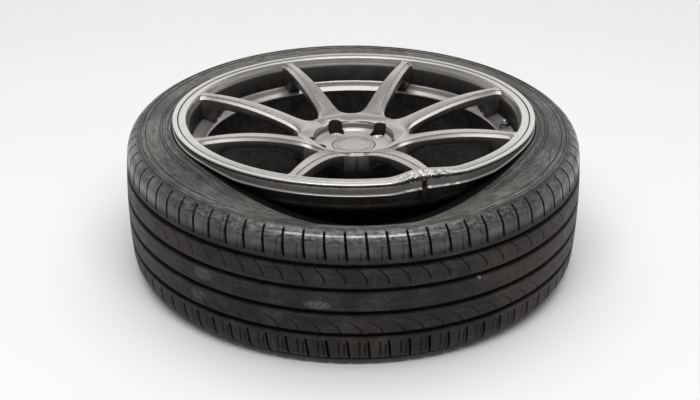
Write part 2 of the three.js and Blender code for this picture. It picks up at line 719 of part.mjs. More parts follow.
// Tapered cutters for the slots across both shoulders, which start beyond the outer groove
function makeSlots() {
  const start = GROOVE_OFFSETS[0] + GROOVE_WIDTH / 2 + SLOT_SETBACK;
  const floorStart = treadRadius(start) - SLOT_DEPTH;
  const floorEnd = SHOULDER_EDGE_RADIUS + 2;
  const end = SHOULDER_EDGE_OFFSET + 3;
  const clear = 4;
  const half = SLOT_WIDTH / 2 * (1 + clear / SLOT_DEPTH);
  const across = (side) => [
    new THREE.Vector3(floorStart, 0, side * start),
    new THREE.Vector3(TYRE_RADIUS + clear, -half, side * start),
    new THREE.Vector3(TYRE_RADIUS + clear, half, side * start),
  ];
  const beyond = (side) => [
    new THREE.Vector3(floorEnd, 0, side * end),
    new THREE.Vector3(floorEnd + clear + SLOT_DEPTH, -half, side * (end + clear)),
    new THREE.Vector3(floorEnd + clear + SLOT_DEPTH, half, side * (end + clear)),
  ];
  const upper = skin([beyond(1), across(1)], false);
  const lower = skin([across(-1), beyond(-1)], false);
  const slots = [upper, lower].flatMap((slot) => (
    around(SHOULDER_SLOTS, 0, () => slot.clone().translate(0, 0, TREAD_MID_HEIGHT))
  ));
  return mergeGeometries(slots);
}

// Bead from its toe round the heel to where it leaves the flange
function beadOutline(azimuth, flangeDepth, inward, drop) {
  const base = SEAT_RADIUS + BEAD_CLEARANCE;
  return [
    [base - 0.4, BEAD_WIDTH],
    [base + 0.6, HEEL_RADIUS],
    [base + HEEL_RADIUS, FACE_CLEARANCE],
    [LIP_RADIUS + 1, FACE_CLEARANCE],
  ].map(([radius, offset]) => onRim(azimuth, radius, -(flangeDepth + inward * offset + drop)));
}

// Curve moved sideways by the thickness of the wall
function offsetCurve(curve, fractions, distance) {
  return fractions.map((fraction) => {
    const tangent = curve.getTangent(fraction);
    const point = curve.getPoint(fraction);
    return new THREE.Vector2(point.x + tangent.y * distance, point.y - tangent.x * distance);
  });
}

function tyreColumn(azimuth) {
  const drop = beadDrop(azimuth);
  const upperBead = beadOutline(azimuth, OUTER_FLANGE, 1, drop);
  const lowerBead = beadOutline(azimuth, INNER_FACE, -1, 0);
  const upperShoulder = shoulderOutline(1);
  const lowerShoulder = shoulderOutline(-1);

  const upperStart = upperBead[3];
  const upperEnd = upperShoulder[3];
  const upperWall = new THREE.CubicBezierCurve(
    upperEnd,
    new THREE.Vector2(upperEnd.x - 16, upperEnd.y + 1.2),
    new THREE.Vector2(upperStart.x + 15, upperStart.y + drop * 0.12),
    upperStart,
  );
  const lowerStart = lowerBead[3];
  const contactInner = Math.max(CONTACT_INNER_RADIUS, lowerStart.x + 0.4 * lowerStart.y);
  const contactEnd = new THREE.Vector2(contactInner, 0);
  const lowerWall = new THREE.CubicBezierCurve(
    lowerStart,
    new THREE.Vector2(lowerStart.x + 8, lowerStart.y - 1.5),
    new THREE.Vector2(contactInner - 8, 0),
    contactEnd,
  );

  const outside = [
    ...lowerBead,
    ...lowerWall.getPoints(3).slice(1),
    new THREE.Vector2(CONTACT_OUTER_RADIUS, 0),
    ...lowerShoulder.reverse(),
    ...treadOutline(),
    ...upperShoulder,
    ...upperWall.getPoints(4).slice(1, 4),
    ...upperBead.reverse(),
  ];
  const treadInside = TYRE_RADIUS - TREAD_THICKNESS;
  const upperThroat = onRim(azimuth, SEAT_RADIUS + BEAD_THICKNESS, -(OUTER_FLANGE + BEAD_WIDTH - 3 + drop));
  const lowerThroat = onRim(azimuth, SEAT_RADIUS + BEAD_THICKNESS, -(INNER_FACE - BEAD_WIDTH + 3));
  const inside = [
    onRim(azimuth, SEAT_RADIUS + 4, -(OUTER_FLANGE + BEAD_WIDTH + 0.5 + drop)),
    upperThroat,
    ...offsetCurve(upperWall, [0.7, 0.3], -WALL_THICKNESS),
    new THREE.Vector2(treadInside - 5, TREAD_MID_HEIGHT + TREAD_HALF_WIDTH + 9),
    new THREE.Vector2(treadInside, TREAD_MID_HEIGHT + TREAD_HALF_WIDTH - 14),
    new THREE.Vector2(treadInside, TREAD_MID_HEIGHT - TREAD_HALF_WIDTH + 14),
    new THREE.Vector2(treadInside - 5, TREAD_MID_HEIGHT - TREAD_HALF_WIDTH - 7),
    new THREE.Vector2(CONTACT_OUTER_RADIUS - 2, WALL_THICKNESS + 1),
    ...offsetCurve(lowerWall, [0.9, 0.4], -WALL_THICKNESS),
    lowerThroat,
    onRim(azimuth, SEAT_RADIUS + 4, -(INNER_FACE - BEAD_WIDTH - 0.5)),
  ];
  return [...outside, ...inside].map((point) => polar(point.x, azimuth, point.y));
}

function makeTyre() {
  const columns = [];
  for (let i = 0; i < TYRE_COLUMNS; i += 1) {
    columns.push(tyreColumn(i * 2 * Math.PI / TYRE_COLUMNS));
  }
  const carcass = solidOf(skin(columns, true));
  return geometryOf(carcass.subtract(solidOf(makeSlots())));
}

const wheel = new THREE.Group();
wheel.position.copy(seat.position);
wheel.rotation.copy(seat.rotation);
wheel.add(meshOf('alloy_wheel', makeWheel(), 'alloy'));
wheel.add(meshOf('centre_cap', makeCap(), 'cap'));
wheel.add(meshOf('cap_clip_ring', makeClip(), 'steel'));
wheel.add(meshOf('valve_stem', makeValveStem(), 'rubber'));
wheel.add(meshOf('valve_cap', makeValveCap(), 'nickel'));
const outerStrip = makeWeights(WELL_RADIUS - BARREL_WALL, WELL_START, OUTER_WEIGHTS);
wheel.add(meshOf('balance_weights_outer', outerStrip, 'lead'));
wheel.add(meshOf('balance_weights_inner', makeWeights(
  seatRadius(SEAT_LENGTH) - BARREL_WALL,
  INNER_FACE - 24,
  INNER_WEIGHTS,
), 'lead'));

const object = new THREE.Group();
object.add(wheel);
object.add(meshOf('tyre', makeTyre(), 'rubber'));

export default object;
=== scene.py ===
import math

import bmesh
import bpy
import numpy as np
from mathutils import Matrix, Vector, noise


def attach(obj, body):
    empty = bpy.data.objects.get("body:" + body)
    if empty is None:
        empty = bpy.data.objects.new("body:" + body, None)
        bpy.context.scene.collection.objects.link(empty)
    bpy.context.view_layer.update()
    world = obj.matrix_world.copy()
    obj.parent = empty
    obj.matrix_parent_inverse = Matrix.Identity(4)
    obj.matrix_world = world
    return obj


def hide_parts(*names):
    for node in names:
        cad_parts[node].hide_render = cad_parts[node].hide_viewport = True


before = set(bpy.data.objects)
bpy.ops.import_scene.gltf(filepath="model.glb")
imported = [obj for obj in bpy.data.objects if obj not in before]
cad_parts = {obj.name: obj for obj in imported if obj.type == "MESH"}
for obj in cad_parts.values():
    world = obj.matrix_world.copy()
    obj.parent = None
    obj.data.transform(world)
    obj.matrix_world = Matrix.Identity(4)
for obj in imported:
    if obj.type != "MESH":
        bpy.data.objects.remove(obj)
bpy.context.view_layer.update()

# Lengths are in millimetres up to the point where a mesh is made, and metres from there on; azimuths and
# the angles of sharp edges are in degrees, unless they are turned into radians here
METRE = 0.001
SMOOTH_ANGLE = 35
CASTING_ANGLE = 32

# Camera, fitted to the photograph
IMAGE_WIDTH = 700
FOCAL_PIXELS = 1500
SENSOR_WIDTH = 36
CAMERA_PLACE = (0, -1880.1, 1067.9)
CAMERA_DOWN = math.radians(27.792)
CAMERA_YAW = math.radians(-0.133)
CAMERA_ROLL = math.radians(0.265)

# Tyre
TYRE_RADIUS = 314.4
TREAD_MID = 100
CROWN_DROP = 3
TREAD_HALF = 69.5
TREAD_THICKNESS = 15
GROOVES = (-49, -16.2, 16.2, 49)
GROOVE_WIDTH = 7.5
GROOVE_FLOOR = 5.5
GROOVE_DEPTH = 6
SHOULDER_EDGE = (295.2, 93.1)
SHOULDER_PULL = 24
PITCHES = 75
SLOT_DEPTH = 6.4
SLOT_START = 57.2
SLOT_END_RADIUS = 299
SLOT_RISE = 0.8
SLOT_HALF = 1.5
SLOT_SLANT = 0.1
SLOT_STATIONS = (-1.75, -1.4, 1.4, 1.75, 7, 13.2, 19.4)
WALL = 9
BEAD_WIDTH = 18
BEAD_THICKNESS = 14.5
CONTACT_INNER = 262
CONTACT_OUTER = 288
BEAD_DROP = 48
DROP_AZIMUTH = 275
DROP_HALF_ARC = 67
# Azimuth where the painted highlight on the upper shoulder is strongest
SHOULDER_HIGHLIGHT_AZIMUTH = 268
# Raised rings on the sidewall: share of the way from shoulder to bead, half width in shares, height
WALL_RINGS = ((0.06, 0.012, 0.7), (0.20, 0.010, 0.5), (0.62, 0.012, 0.6), (0.70, 0.008, 0.4), (0.86, 0.010, 0.5))

# Rim
LIP_RADIUS = 248
OUTER_FLANGE = 11.5
INNER_FLANGE = 8.5
BETWEEN_FLANGES = 177.8
RIM_WIDTH = OUTER_FLANGE + BETWEEN_FLANGES + INNER_FLANGE
INNER_FACE = RIM_WIDTH - INNER_FLANGE
SEAT_RADIUS = 231
WELL_RADIUS = 211
BARREL_RADIUS = 205
LEDGE_RADIUS = 226
LEDGE_FLOOR = 46
VALVE_AZIMUTH = math.radians(11.5)
VALVE_RADIUS = 216.5
LIP_HEIGHT = 213.9
LEAN_TO_BACK = math.radians(3.3)
LEAN_TO_SIDE = math.radians(0.45)

# Kerb damage; a span is two pairs of azimuths, between which a mark fades in and out
DENT_START = 279.5
DENT_WORST = 291.5
DENT_END = 307
DENT_DEPTH = 10.5
DENT_RISE = 2.8
DENT_JAG = 1.9
CRACK_AZIMUTH = 291.7
CRACK_HALF = 2.2
CRACK_DEPTH = 3.5
LIP_ROLL = 5.5
ROLL_START = 4.5
ROLL_RUN = 5
BEAD_FREE_DROP = 3
FOLD_RUN = 5
TORN_RADIUS = 236
SCRAPE_START = 282
SCRAPE_END = 302
RIM_STEP = 1.25
DENT_STEP = 0.2
BARE_SPAN = ((284.5, 288), (300, 294))
# Along this span the flange's lower edge is painted bright metal, partly bare from the kerb and partly a painted
# highlight
LOWER_BARE_AND_HIGHLIGHT_SPAN = ((281, 285), (309, 303))

# Brake dust and painted shade, as shares of full soot: the casting is painted darker in its hollows, on its sides
# and inside the barrel, where shade falls
SPOKE_SIDE_DUST_AND_SHADE = 0.72
# A little dust on the ledge; the same share lightens the flange's lower edge as a painted highlight
LEDGE_DUST_AND_EDGE_HIGHLIGHT = 0.1
RECESS_DUST_AND_SHADE = 0.45
POCKET_DUST_AND_SHADE = 0.95
BARREL_BACK_DUST_AND_SHADE = 0.93
FLANGE_DUST_AND_SHADE = 0.8

# Spokes and hub
SPOKES = 8
FIRST_SPOKE = math.radians(25.2)
SPOKE_HALF_ANGLE = math.pi / SPOKES
TIP_RADIUS = 222
TIP_DEPTH = 1.3
DISH_DEPTH = 12.3
DISH_POWER = 2.1
WINDOW_END = 77.5
WAIST_RADIUS = 110
WAIST_HALF = 13
TIP_HALF = 8.8
LEDGE_WIDTH = 5
STEP_DEPTH = 2.2
LEDGE_DROP = 3
SPOKE_DEPTH = 16.5
HUB_DEEPENING = 14.5
HUB_RUN = 34
ROOT_START = 188
ROOT_RUN = 20
ROOT_DEPTH = 24.2
TIP_FLOOR = -39.5
TIP_FLARES = ((219, 0.4), (222, 1.0), (224, 1.9), (226, 3.4))
RECESS_RADIUS = 55
RECESS_FLOOR = 48.5
PAD_RADIUS = 81
PAD_LOBE = 3
PAD_TOP = 58
PAD_STEPS = 192
MOUNT_FACE = 90
BOLTS = 5
FIRST_BOLT = math.radians(47)
BOLT_CIRCLE = 50
POCKET_RADIUS = 11.4
CONE_TOP = -53.4
CONE_FOOT = -57.5
HUB_BACK = -92
BOLT_HOLE_RADIUS = 7
CAP_SLITS = 3
SLIT_SIZE = (56, 7, 20)
SLIT_LEVEL = -65.2

# Marks of wear on the tread: azimuth, height from its middle, half arc, half height, colour
SCUFFS = (
    (233, 3, 3.2, 10, (0.10, 0.10, 0.09)), (231, -31, 2.6, 8, (0.09, 0.09, 0.08)),
    (262, -5, 3.6, 6.5, (0.13, 0.13, 0.12)), (262.5, 29, 1.8, 6, (0.055, 0.028, 0.024)),
    (301, 33, 3.0, 9, (0.05, 0.032, 0.03)), (300.2, 12, 0.5, 1.6, (0.5, 0.49, 0.47)),
)

# Sipes drawn on the ribs, once a pitch: place in the pitch, top, bottom, sweep along the rib, width
SIPES = (
    (0.62, 46, 26, 13, 2.4), (0.1, -27, -46, 19, 2.0), (0.48, 90, 58, 0.5, 2.0),
    (0.2, 80, 60, -0.5, 2.0), (0.48, -58, -88, 0.5, 2.0), (0.22, -62, -84, 0.5, 2.0),
)
SIPE_INSET = 2.0

# Colours, linear, and how metallic the paint is
PAINT_DARK, PAINT_LIGHT = (0.36, 0.343, 0.328), (0.47, 0.45, 0.432)
FLAKE, SMEAR, SPECK = (0.66, 0.64, 0.615), (0.30, 0.28, 0.265), (0.12, 0.11, 0.10)
# The cap's tint, and a light colour laid on the lip's upper faces as a painted highlight
CAP_TINT, LIP_HIGHLIGHT = (0.2, 0.21, 0.2), (0.86, 0.85, 0.82)
# Soot colours, also laid on as painted shade in the casting's hollows
SOOT_AND_SHADE_DARK, SOOT_AND_SHADE_LIGHT = (0.010, 0.0085, 0.008), (0.034, 0.028, 0.025)
BARE_DARK, BARE_LIGHT = (0.16, 0.145, 0.14), (0.93, 0.91, 0.88)
RUST = (0.045, 0.018, 0.016)
PAINT_METAL, MATT_METAL = 0.8, 0.35
RUBBER_GREEN, RUBBER_BLUE = (0.0155, 0.0165, 0.0145), (0.016, 0.0165, 0.018)
RUBBER_RED, TREAD_DUST = (0.029, 0.0215, 0.0195), (0.12, 0.117, 0.106)
# The last colour is a painted highlight on the upper shoulder
STREAKS, CHALK, SHOULDER_HIGHLIGHT = (0.085, 0.084, 0.078), (0.25, 0.245, 0.23), (0.21, 0.21, 0.2)
# The first two colours are painted shade, beside the wall's rings and down in the grooves; the third is the dark
# of the sipes
RING_SHADE_LINE, GROOVE_SHADE, SIPE_BLACK = (0.008, 0.008, 0.0075), (0.004, 0.004, 0.004), (0.002, 0.002, 0.002)
FLOOR_WHITE = (0.855, 0.855, 0.855)

# Stage: place, target, size in metres and power in watts of each lamp; strengths of the surroundings
LAMPS = {
    "overhead": ((0, 0.5, 3.4), (0, 0, 0), (3.4, 2.6), 60),
    "front_strip": ((0, -1.7, 2.9), (0, -0.2, 0.1), (3.0, 0.3), 58),
}
SKY_LOW, SKY_HIGH, SKY_SPAN = 0.20, 0.27, (0.0, 0.9)
GLOW_BACK, GLOW_TOP = (0.15, 0.6), (0.58, 0.46)
BACKDROP, BACKDROP_TOP = 0.9, (0.22, 0.12)
FLOOR_HALF = 30000
FLOOR_DEPTH = 0.2

LEAN = Matrix.Rotation(-LEAN_TO_BACK, 4, "X") @ Matrix.Rotation(-LEAN_TO_SIDE, 4, "Y")
WHEEL_PLACE = Matrix.Translation((0, 0, LIP_HEIGHT)) @ LEAN


# Mesh building

def make_mesh(name, points, faces):
    """Object from points in millimetres."""
    mesh = bpy.data.meshes.new(name)
    mesh.from_pydata((np.asarray(points, float) * METRE).tolist(), [], faces)
    mesh.update()
    obj = bpy.data.objects.new(name, mesh)
    bpy.context.scene.collection.objects.link(obj)
    shade(obj)
    return obj


def shade(obj, angle=SMOOTH_ANGLE):
    """Smooth shading; edges sharper than the angle stay crisp."""
    obj.data.polygons.foreach_set("use_smooth", [True] * len(obj.data.polygons))
    obj.data.set_sharp_from_angle(angle=math.radians(angle))


def skin_faces(loops, size, ring):
    """Quads between neighbouring loops of points, and fans over the ends of an open row."""
    faces = []
    spans = loops if ring else loops - 1
    for i in range(spans):
        here, there = i * size, ((i + 1) % loops) * size
        for j in range(size):
            k = (j + 1) % size
            faces.append((here + j, there + j, there + k, here + k))
    if not ring:
        first, last = loops * size, (loops - 1) * size
        for j in range(size):
            k = (j + 1) % size
            faces.append((first, j, k))
            faces.append((first + 1, last + k, last + j))
    return faces


def skin(name, loops, ring=False):
    """Object from a row of closed loops of points; a ring joins its last loop to its first."""
    loops = np.asarray(loops, float)
    count, size = loops.shape[:2]
    points = loops.reshape(-1, 3)
    if not ring:
        points = np.vstack([points, loops[0].mean(0), loops[-1].mean(0)])
    return make_mesh(name, points, skin_faces(count, size, ring))


def cubic(a, b, c, d, shares):
    """Points of a Bezier curve at the given shares of its run."""
    s = shares[:, None]
    a, b, c, d = (np.array(p, float) for p in (a, b, c, d))
    return (1 - s) ** 3 * a + 3 * s * (1 - s) ** 2 * b + 3 * s * s * (1 - s) * c + s ** 3 * d


def bezier(a, b, c, d, count):
    return cubic(a, b, c, d, np.linspace(0, 1, count))


def offset_curve(curve, distance):
    """Curve moved to its right by one distance, or by one for each point."""
    tangent = np.gradient(curve, axis=0)
    tangent /= np.linalg.norm(tangent, axis=1)[:, None]
    return curve + np.column_stack([tangent[:, 1], -tangent[:, 0]]) * np.reshape(distance, (-1, 1))


def rounded(corners):
    """Outline with each corner (point..., radius, steps) turned into a small arc."""
    points = [np.array(c[:-2], float) for c in corners]
    out = []
    for i, corner in enumerate(corners):
        radius, steps = corner[-2:]
        here, before, after = points[i], points[i - 1], points[(i + 1) % len(points)]
        if not steps:
            out.append(here)
            continue
        back, ahead = before - here, after - here
        reach_back = min(radius, 0.45 * np.linalg.norm(back))
        reach_ahead = min(radius, 0.45 * np.linalg.norm(ahead))
        start = here + back / (np.linalg.norm(back) + 1e-9) * reach_back
        end = here + ahead / (np.linalg.norm(ahead) + 1e-9) * reach_ahead
        for s in np.linspace(0, 1, steps + 1):
            out.append((1 - s) ** 2 * start + 2 * s * (1 - s) * here + s * s * end)
    return np.array(out)


def turned(name, corners, segments=96):
    """Closed profile of (radius, height, fillet, steps) turned about the axis."""
    profile = rounded(corners)
    radii, heights = profile.T
    if np.sum(radii * np.roll(heights, -1) - np.roll(radii, -1) * heights) < 0:
        profile = profile[::-1]
    on_axis = profile[:, 0] < 1e-6
    points, rings = [], []
    for (radius, height), axial in zip(profile, on_axis):
        if axial:
            rings.append([len(points)] * segments)
            points.append((0, 0, height))
        else:
            rings.append(list(range(len(points), len(points) + segments)))
            for i in range(segments):
                angle = 2 * math.pi * i / segments
                points.append((radius * math.cos(angle), radius * math.sin(angle), height))
    faces = []
    for a, b in zip(rings, rings[1:] + rings[:1]):
        for i in range(segments):
            k = (i + 1) % segments
            face = [a[i], a[k], b[k], b[i]]
            face = [v for n, v in enumerate(face) if v not in face[:n]]
            if len(face) > 2:
                faces.append(face)
    return make_mesh(name, points, faces)


def triangulate(mesh):
    work = bmesh.new()
    work.from_mesh(mesh)
    bmesh.ops.triangulate(work, faces=work.faces[:])
    work.to_mesh(mesh)
    work.free()


def combine(obj, other, operation):
    """Boolean with the exact solids kernel, applied at once; the other object is used up."""
    modifier = obj.modifiers.new("combine", "BOOLEAN")
    modifier.operation = operation
    modifier.solver = "MANIFOLD"
    modifier.object = other
    for mesh in (obj.data, other.data):
        triangulate(mesh)
    graph = bpy.context.evaluated_depsgraph_get()
    mesh = bpy.data.meshes.new_from_object(obj.evaluated_get(graph))
    obj.modifiers.clear()
    old = obj.data
    obj.data = mesh
    bpy.data.meshes.remove(old)
    bpy.data.objects.remove(other)


def at_wheel(obj):
    """Move an object built about the wheel's own axis to where the wheel lies."""
    obj.data.transform(metre_matrix(WHEEL_PLACE))
    return obj


def metre_matrix(matrix):
    scaled = matrix.copy()
    scaled.translation *= METRE
    return scaled


# Rim

def rim_corners():
    """Rim section (radius, depth, fillet, steps), from the ground end of the barrel round clockwise."""
    return [
        (236, -RIM_WIDTH, 1, 2), (226, -(INNER_FACE + 0.5), 6, 4), (223.4, -(INNER_FACE - 28), 4, 2),
        (BARREL_RADIUS, -98, 10, 4), (BARREL_RADIUS, -44.5, 1, 2), (206.2, -43, 0.8, 2),
        (212, -39.5, 1.2, 2), (224.2, -36.6, 2.5, 3), (225.4, -11.5, 2, 3), (227.6, -7.2, 1.6, 3),
        (228.6, -3.2, 1.2, 3), (230.2, 0.75, 1.8, 4), (239.5, -0.9, 0.3, 2), (239.8, -2.4, 0.15, 1),
        (241, -2.2, 0.15, 1), (241.4, -0.5, 0.3, 2), (247.2, 0, 0.6, 3), (248, -0.9, 0.3, 1),
        (248, -1.5, 0.15, 1), (245.4, -2.1, 0.2, 1), (245.4, -4.5, 0.2, 1), (247.6, -5, 0.5, 2),
        (246.9, -9, 0.6, 2), (248.3, -10.3, 0.4, 2), (248.1, -OUTER_FLANGE, 0.6, 2),
        (231.3, -OUTER_FLANGE, 6.5, 6), (229.3, -35.5, 2, 3), (230.4, -39.5, 2.5, 3), (228.6, -44, 2, 2),
        (WELL_RADIUS, -60, 6, 4), (WELL_RADIUS, -98, 8, 4), (229.4, -158, 3, 2), (230.4, -161.3, 2, 3),
        (229.3, -165.5, 2, 3), (231.3, -INNER_FACE, 6.5, 6), (248, -INNER_FACE, 1, 3),
        (248, -(RIM_WIDTH - 0.6), 1.2, 3), (246.6, -RIM_WIDTH, 1, 2),
    ]


def dent_share(azimuth):
    """How much of the dent's full depth is there at an azimuth."""
    reach = DENT_WORST - DENT_START if azimuth < DENT_WORST else DENT_END - DENT_WORST
    offset = abs(azimuth - DENT_WORST) / reach
    return math.cos(offset * math.pi / 2) ** 2 if offset < 1 else 0.0


def jag(azimuth, salt):
    """Repeatable rough line along the lip, from -1 to 1, with steps about a millimetre long."""
    at = Vector((azimuth * 3.1, salt * 17.3, 0.5))
    return noise.noise(at) + 0.6 * noise.noise(at * 2.7) + 0.4 * noise.noise(at * 6.1)


def dented(section, azimuth):
    """Section with the lip folded in and up by the kerb hit, torn where it scraped."""
    share = dent_share(azimuth)
    radius, height = section[:, 0].copy(), section[:, 1].copy()
    outward = np.clip((radius - LEDGE_RADIUS) / FOLD_RUN, 0, 1)
    upward = np.clip(1 + height / (OUTER_FLANGE + 6), 0, 1)
    free = np.clip((bead_drop(math.radians(azimuth)) - BEAD_FREE_DROP) / 12, 0, 1)
    roll = LIP_ROLL * free * np.clip((-height - ROLL_START) / ROLL_RUN, 0, 1)
    height -= np.where((radius > 240) & (height > -OUTER_FLANGE - 0.5), roll, 0)
    weight = share * outward * (0.35 + 0.65 * upward)
    torn = scrape_share(azimuth) * np.clip((radius - TORN_RADIUS) / 4, 0, 1) * (height > -6)
    radius = radius - DENT_DEPTH * weight - DENT_JAG * torn * abs(jag(azimuth, 1)) * 1.4
    height = height + DENT_RISE * weight * upward - DENT_JAG * torn * max(0.5 + jag(azimuth, 2), 0)
    crack = np.clip(1 - abs(azimuth - CRACK_AZIMUTH) * math.radians(LIP_RADIUS) / CRACK_HALF, 0, 1)
    cracked = (section[:, 0] > 243) & (section[:, 1] < -6) & (section[:, 1] > -13)
    radius = radius - CRACK_DEPTH * crack * cracked
    return np.column_stack([radius, height])


def scrape_share(azimuth):
    """1 along the stretch that scraped the kerb, fading out at its ends."""
    return float(np.clip((azimuth - SCRAPE_START) / 3, 0, 1) * np.clip((SCRAPE_END - azimuth) / 4, 0, 1))


def rim_azimuths():
    """Stations in degrees, close together along the dent."""
    coarse = [a for a in np.arange(0, 360, RIM_STEP) if a <= DENT_START or a >= DENT_END]
    fine = list(np.arange(DENT_START + DENT_STEP, DENT_END, DENT_STEP))
    return sorted(set(round(float(a), 4) for a in coarse + fine))


def make_rim():
    section = rounded(rim_corners())[::-1]
    loops = []
    for azimuth in rim_azimuths():
        radius, height = dented(section, azimuth).T
        angle = math.radians(azimuth)
        loops.append(np.column_stack([radius * math.cos(angle), radius * math.sin(angle), height]))
    return skin("alloy_casting", loops, ring=True)


# Spokes

def face_height(radius):
    """Height of the dished spoke face, for one radius or many."""
    run = np.maximum(TIP_RADIUS - radius, 0)
    return -TIP_DEPTH - DISH_DEPTH * (run / 100) ** DISH_POWER


def underside_height(radius):
    """Height of the back of a spoke, deeper towards the hub and at its root in the rim."""
    near_hub = max(WAIST_RADIUS - radius, 0) / HUB_RUN
    near_rim = min(max((radius - ROOT_START) / ROOT_RUN, 0), 1)
    root = ROOT_DEPTH * near_rim ** 2
    return face_height(radius) - SPOKE_DEPTH - HUB_DEEPENING * near_hub ** 1.5 - root


def window_edge():
    """Edge of the window beside a spoke: distance along the spoke and half width."""
    along = np.array([math.cos(SPOKE_HALF_ANGLE), math.sin(SPOKE_HALF_ANGLE)])
    across = np.array([along[1], -along[0]])
    end = along * WINDOW_END
    taper = (WAIST_HALF - TIP_HALF) / (TIP_RADIUS - WAIST_RADIUS)
    sweep = bezier(
        end + across * 4, end + across * 16,
        (WAIST_RADIUS - 22, WAIST_HALF + 22 * taper), (WAIST_RADIUS, WAIST_HALF), 22,
    )
    stations = np.arange(WAIST_RADIUS + 6, TIP_RADIUS - 6, 6.0)
    straight = np.column_stack([stations, WAIST_HALF - (stations - WAIST_RADIUS) * taper])
    return np.vstack([end - across * 0.5, sweep, straight])


def cross_section(half, middle):
    """Half section of (along, across, height, fillet, steps) mirrored about the spoke's centre line."""
    right = [(x, -y, z, f, n) for x, y, z, f, n in half]
    return rounded([(*middle, 0, 0)] + right + half[::-1])


def spoke_section(edge, face, flare=0.0, bottom=None, top=None):
    """Section of a spoke from its window edge and face edge: trough, side, ledge, step and face."""
    ledge_radius, face_radius = np.hypot(*edge), np.hypot(*face)
    over_pad = edge[0] < PAD_RADIUS + PAD_LOBE + 1
    top = face_height(face_radius) if top is None else top
    ledge = min(face_height(ledge_radius) - STEP_DEPTH - LEDGE_DROP, top - STEP_DEPTH - 1)
    if bottom is None:
        bottom = -(PAD_TOP + 2) if over_pad else underside_height(ledge_radius)
    trough = 0 if over_pad else 3
    return cross_section([
        (edge[0], edge[1] + flare, bottom, 2.5, 3),
        (edge[0], edge[1] + flare, ledge, 0.9, 2),
        (face[0], face[1] + 0.25, top - STEP_DEPTH, 0.25, 1),
        (face[0], face[1], top, 0.8, 3),
    ], (edge[0], 0, bottom + trough))


def make_spoke():
    edge = window_edge()
    face = offset_curve(edge, LEDGE_WIDTH)
    inner = RECESS_RADIUS - 8
    half = inner * math.tan(SPOKE_HALF_ANGLE) + 0.5
    inner_top = face_height(inner / math.cos(SPOKE_HALF_ANGLE))
    loops = [spoke_section((inner, half), (inner, half), top=inner_top)]
    loops += [spoke_section(*pair) for pair in zip(edge, face)]
    for radius, flare in TIP_FLARES:
        shoulder = (radius + 0.5, TIP_HALF - LEDGE_WIDTH + flare * 0.7)
        loops.append(spoke_section((radius, TIP_HALF), shoulder, flare, TIP_FLOOR))
    loops.append(cross_section([
        (227.5, TIP_HALF + 3.6, TIP_FLOOR, 2.5, 3),
        (230, TIP_HALF + 3.6, -6.5, 0.9, 2),
        (233, TIP_HALF - 1, -3.9, 0.25, 1),
        (233, TIP_HALF - 1.2, -2.6, 0.8, 3),
    ], (227.5, 0, TIP_FLOOR)))
    return skin("spoke", loops)


def make_pad():
    """Lobed mounting pad behind the hub."""
    loops = []
    for inset, height in ((0, -PAD_TOP), (0, -(MOUNT_FACE - 1.5)), (1.5, -MOUNT_FACE)):
        loop = []
        for i in range(PAD_STEPS):
            angle = 2 * math.pi * i / PAD_STEPS
            radius = PAD_RADIUS + PAD_LOBE * math.cos(SPOKES * angle) - inset
            loop.append((radius * math.cos(angle + FIRST_SPOKE), radius * math.sin(angle + FIRST_SPOKE), height))
        loops.append(loop)
    return skin("pad", np.array(loops)[::-1])


def placed(obj, angle, shift=(0, 0, 0)):
    """Shift an object, then turn it about the wheel's axis."""
    obj.data.transform(metre_matrix(Matrix.Rotation(angle, 4, "Z") @ Matrix.Translation(shift)))
    return obj


def make_recess():
    return turned("recess", [
        (0, -RECESS_FLOOR, 0, 0), (51, -RECESS_FLOOR, 0.4, 2), (52.2, -46.8, 0.6, 2),
        (54.2, -45, 0.8, 2), (55, -38.6, 1, 2), (56.2, -37, 1, 2), (56.2, -20, 0, 0), (0, -20, 0, 0),
    ], 128)


def make_bore():
    return turned("bore", [
        (0, HUB_BACK, 0, 0), (30, HUB_BACK, 0, 0), (30, -90, 0, 0), (28.55, -88.6, 0, 0), (28.55, -68, 0, 0),
        (25.5, -66, 0, 0), (25.5, -54, 0, 0), (27.6, -54, 0, 0), (27.6, -50.2, 0.2, 1), (30.3, -50.2, 0.2, 1),
        (30.5, -47, 0, 0), (0, -47, 0, 0),
    ], 96)


def make_pocket():
    return turned("pocket", [
        (0, HUB_BACK, 0, 0), (BOLT_HOLE_RADIUS, HUB_BACK, 0, 0), (BOLT_HOLE_RADIUS, CONE_FOOT, 0.3, 2),
        (11.1, CONE_TOP, 0.3, 2), (POCKET_RADIUS, -40, 0, 0), (POCKET_RADIUS, -25, 0, 0), (0, -25, 0, 0),
    ], 48)


def make_valve_cuts():
    """Flat seat, hole and the relief behind it."""
    spot = turned("spot", [(0, -40.5, 0, 0), (8, -40.5, 0.4, 2), (8, -26, 0, 0), (0, -26, 0, 0)], 48)
    hole = turned("hole", [(0, -62, 0, 0), (5.75, -62, 0, 0), (5.75, -38, 0, 0), (0, -38, 0, 0)], 48)
    relief = turned("relief", [(0, -62, 0, 0), (7.5, -62, 0, 0), (7.5, -44.5, 0, 0), (0, -44.5, 0, 0)], 48)
    return [spot, hole, relief]


def bolt_angles():
    return [FIRST_BOLT + i * 2 * math.pi / BOLTS for i in range(BOLTS)]


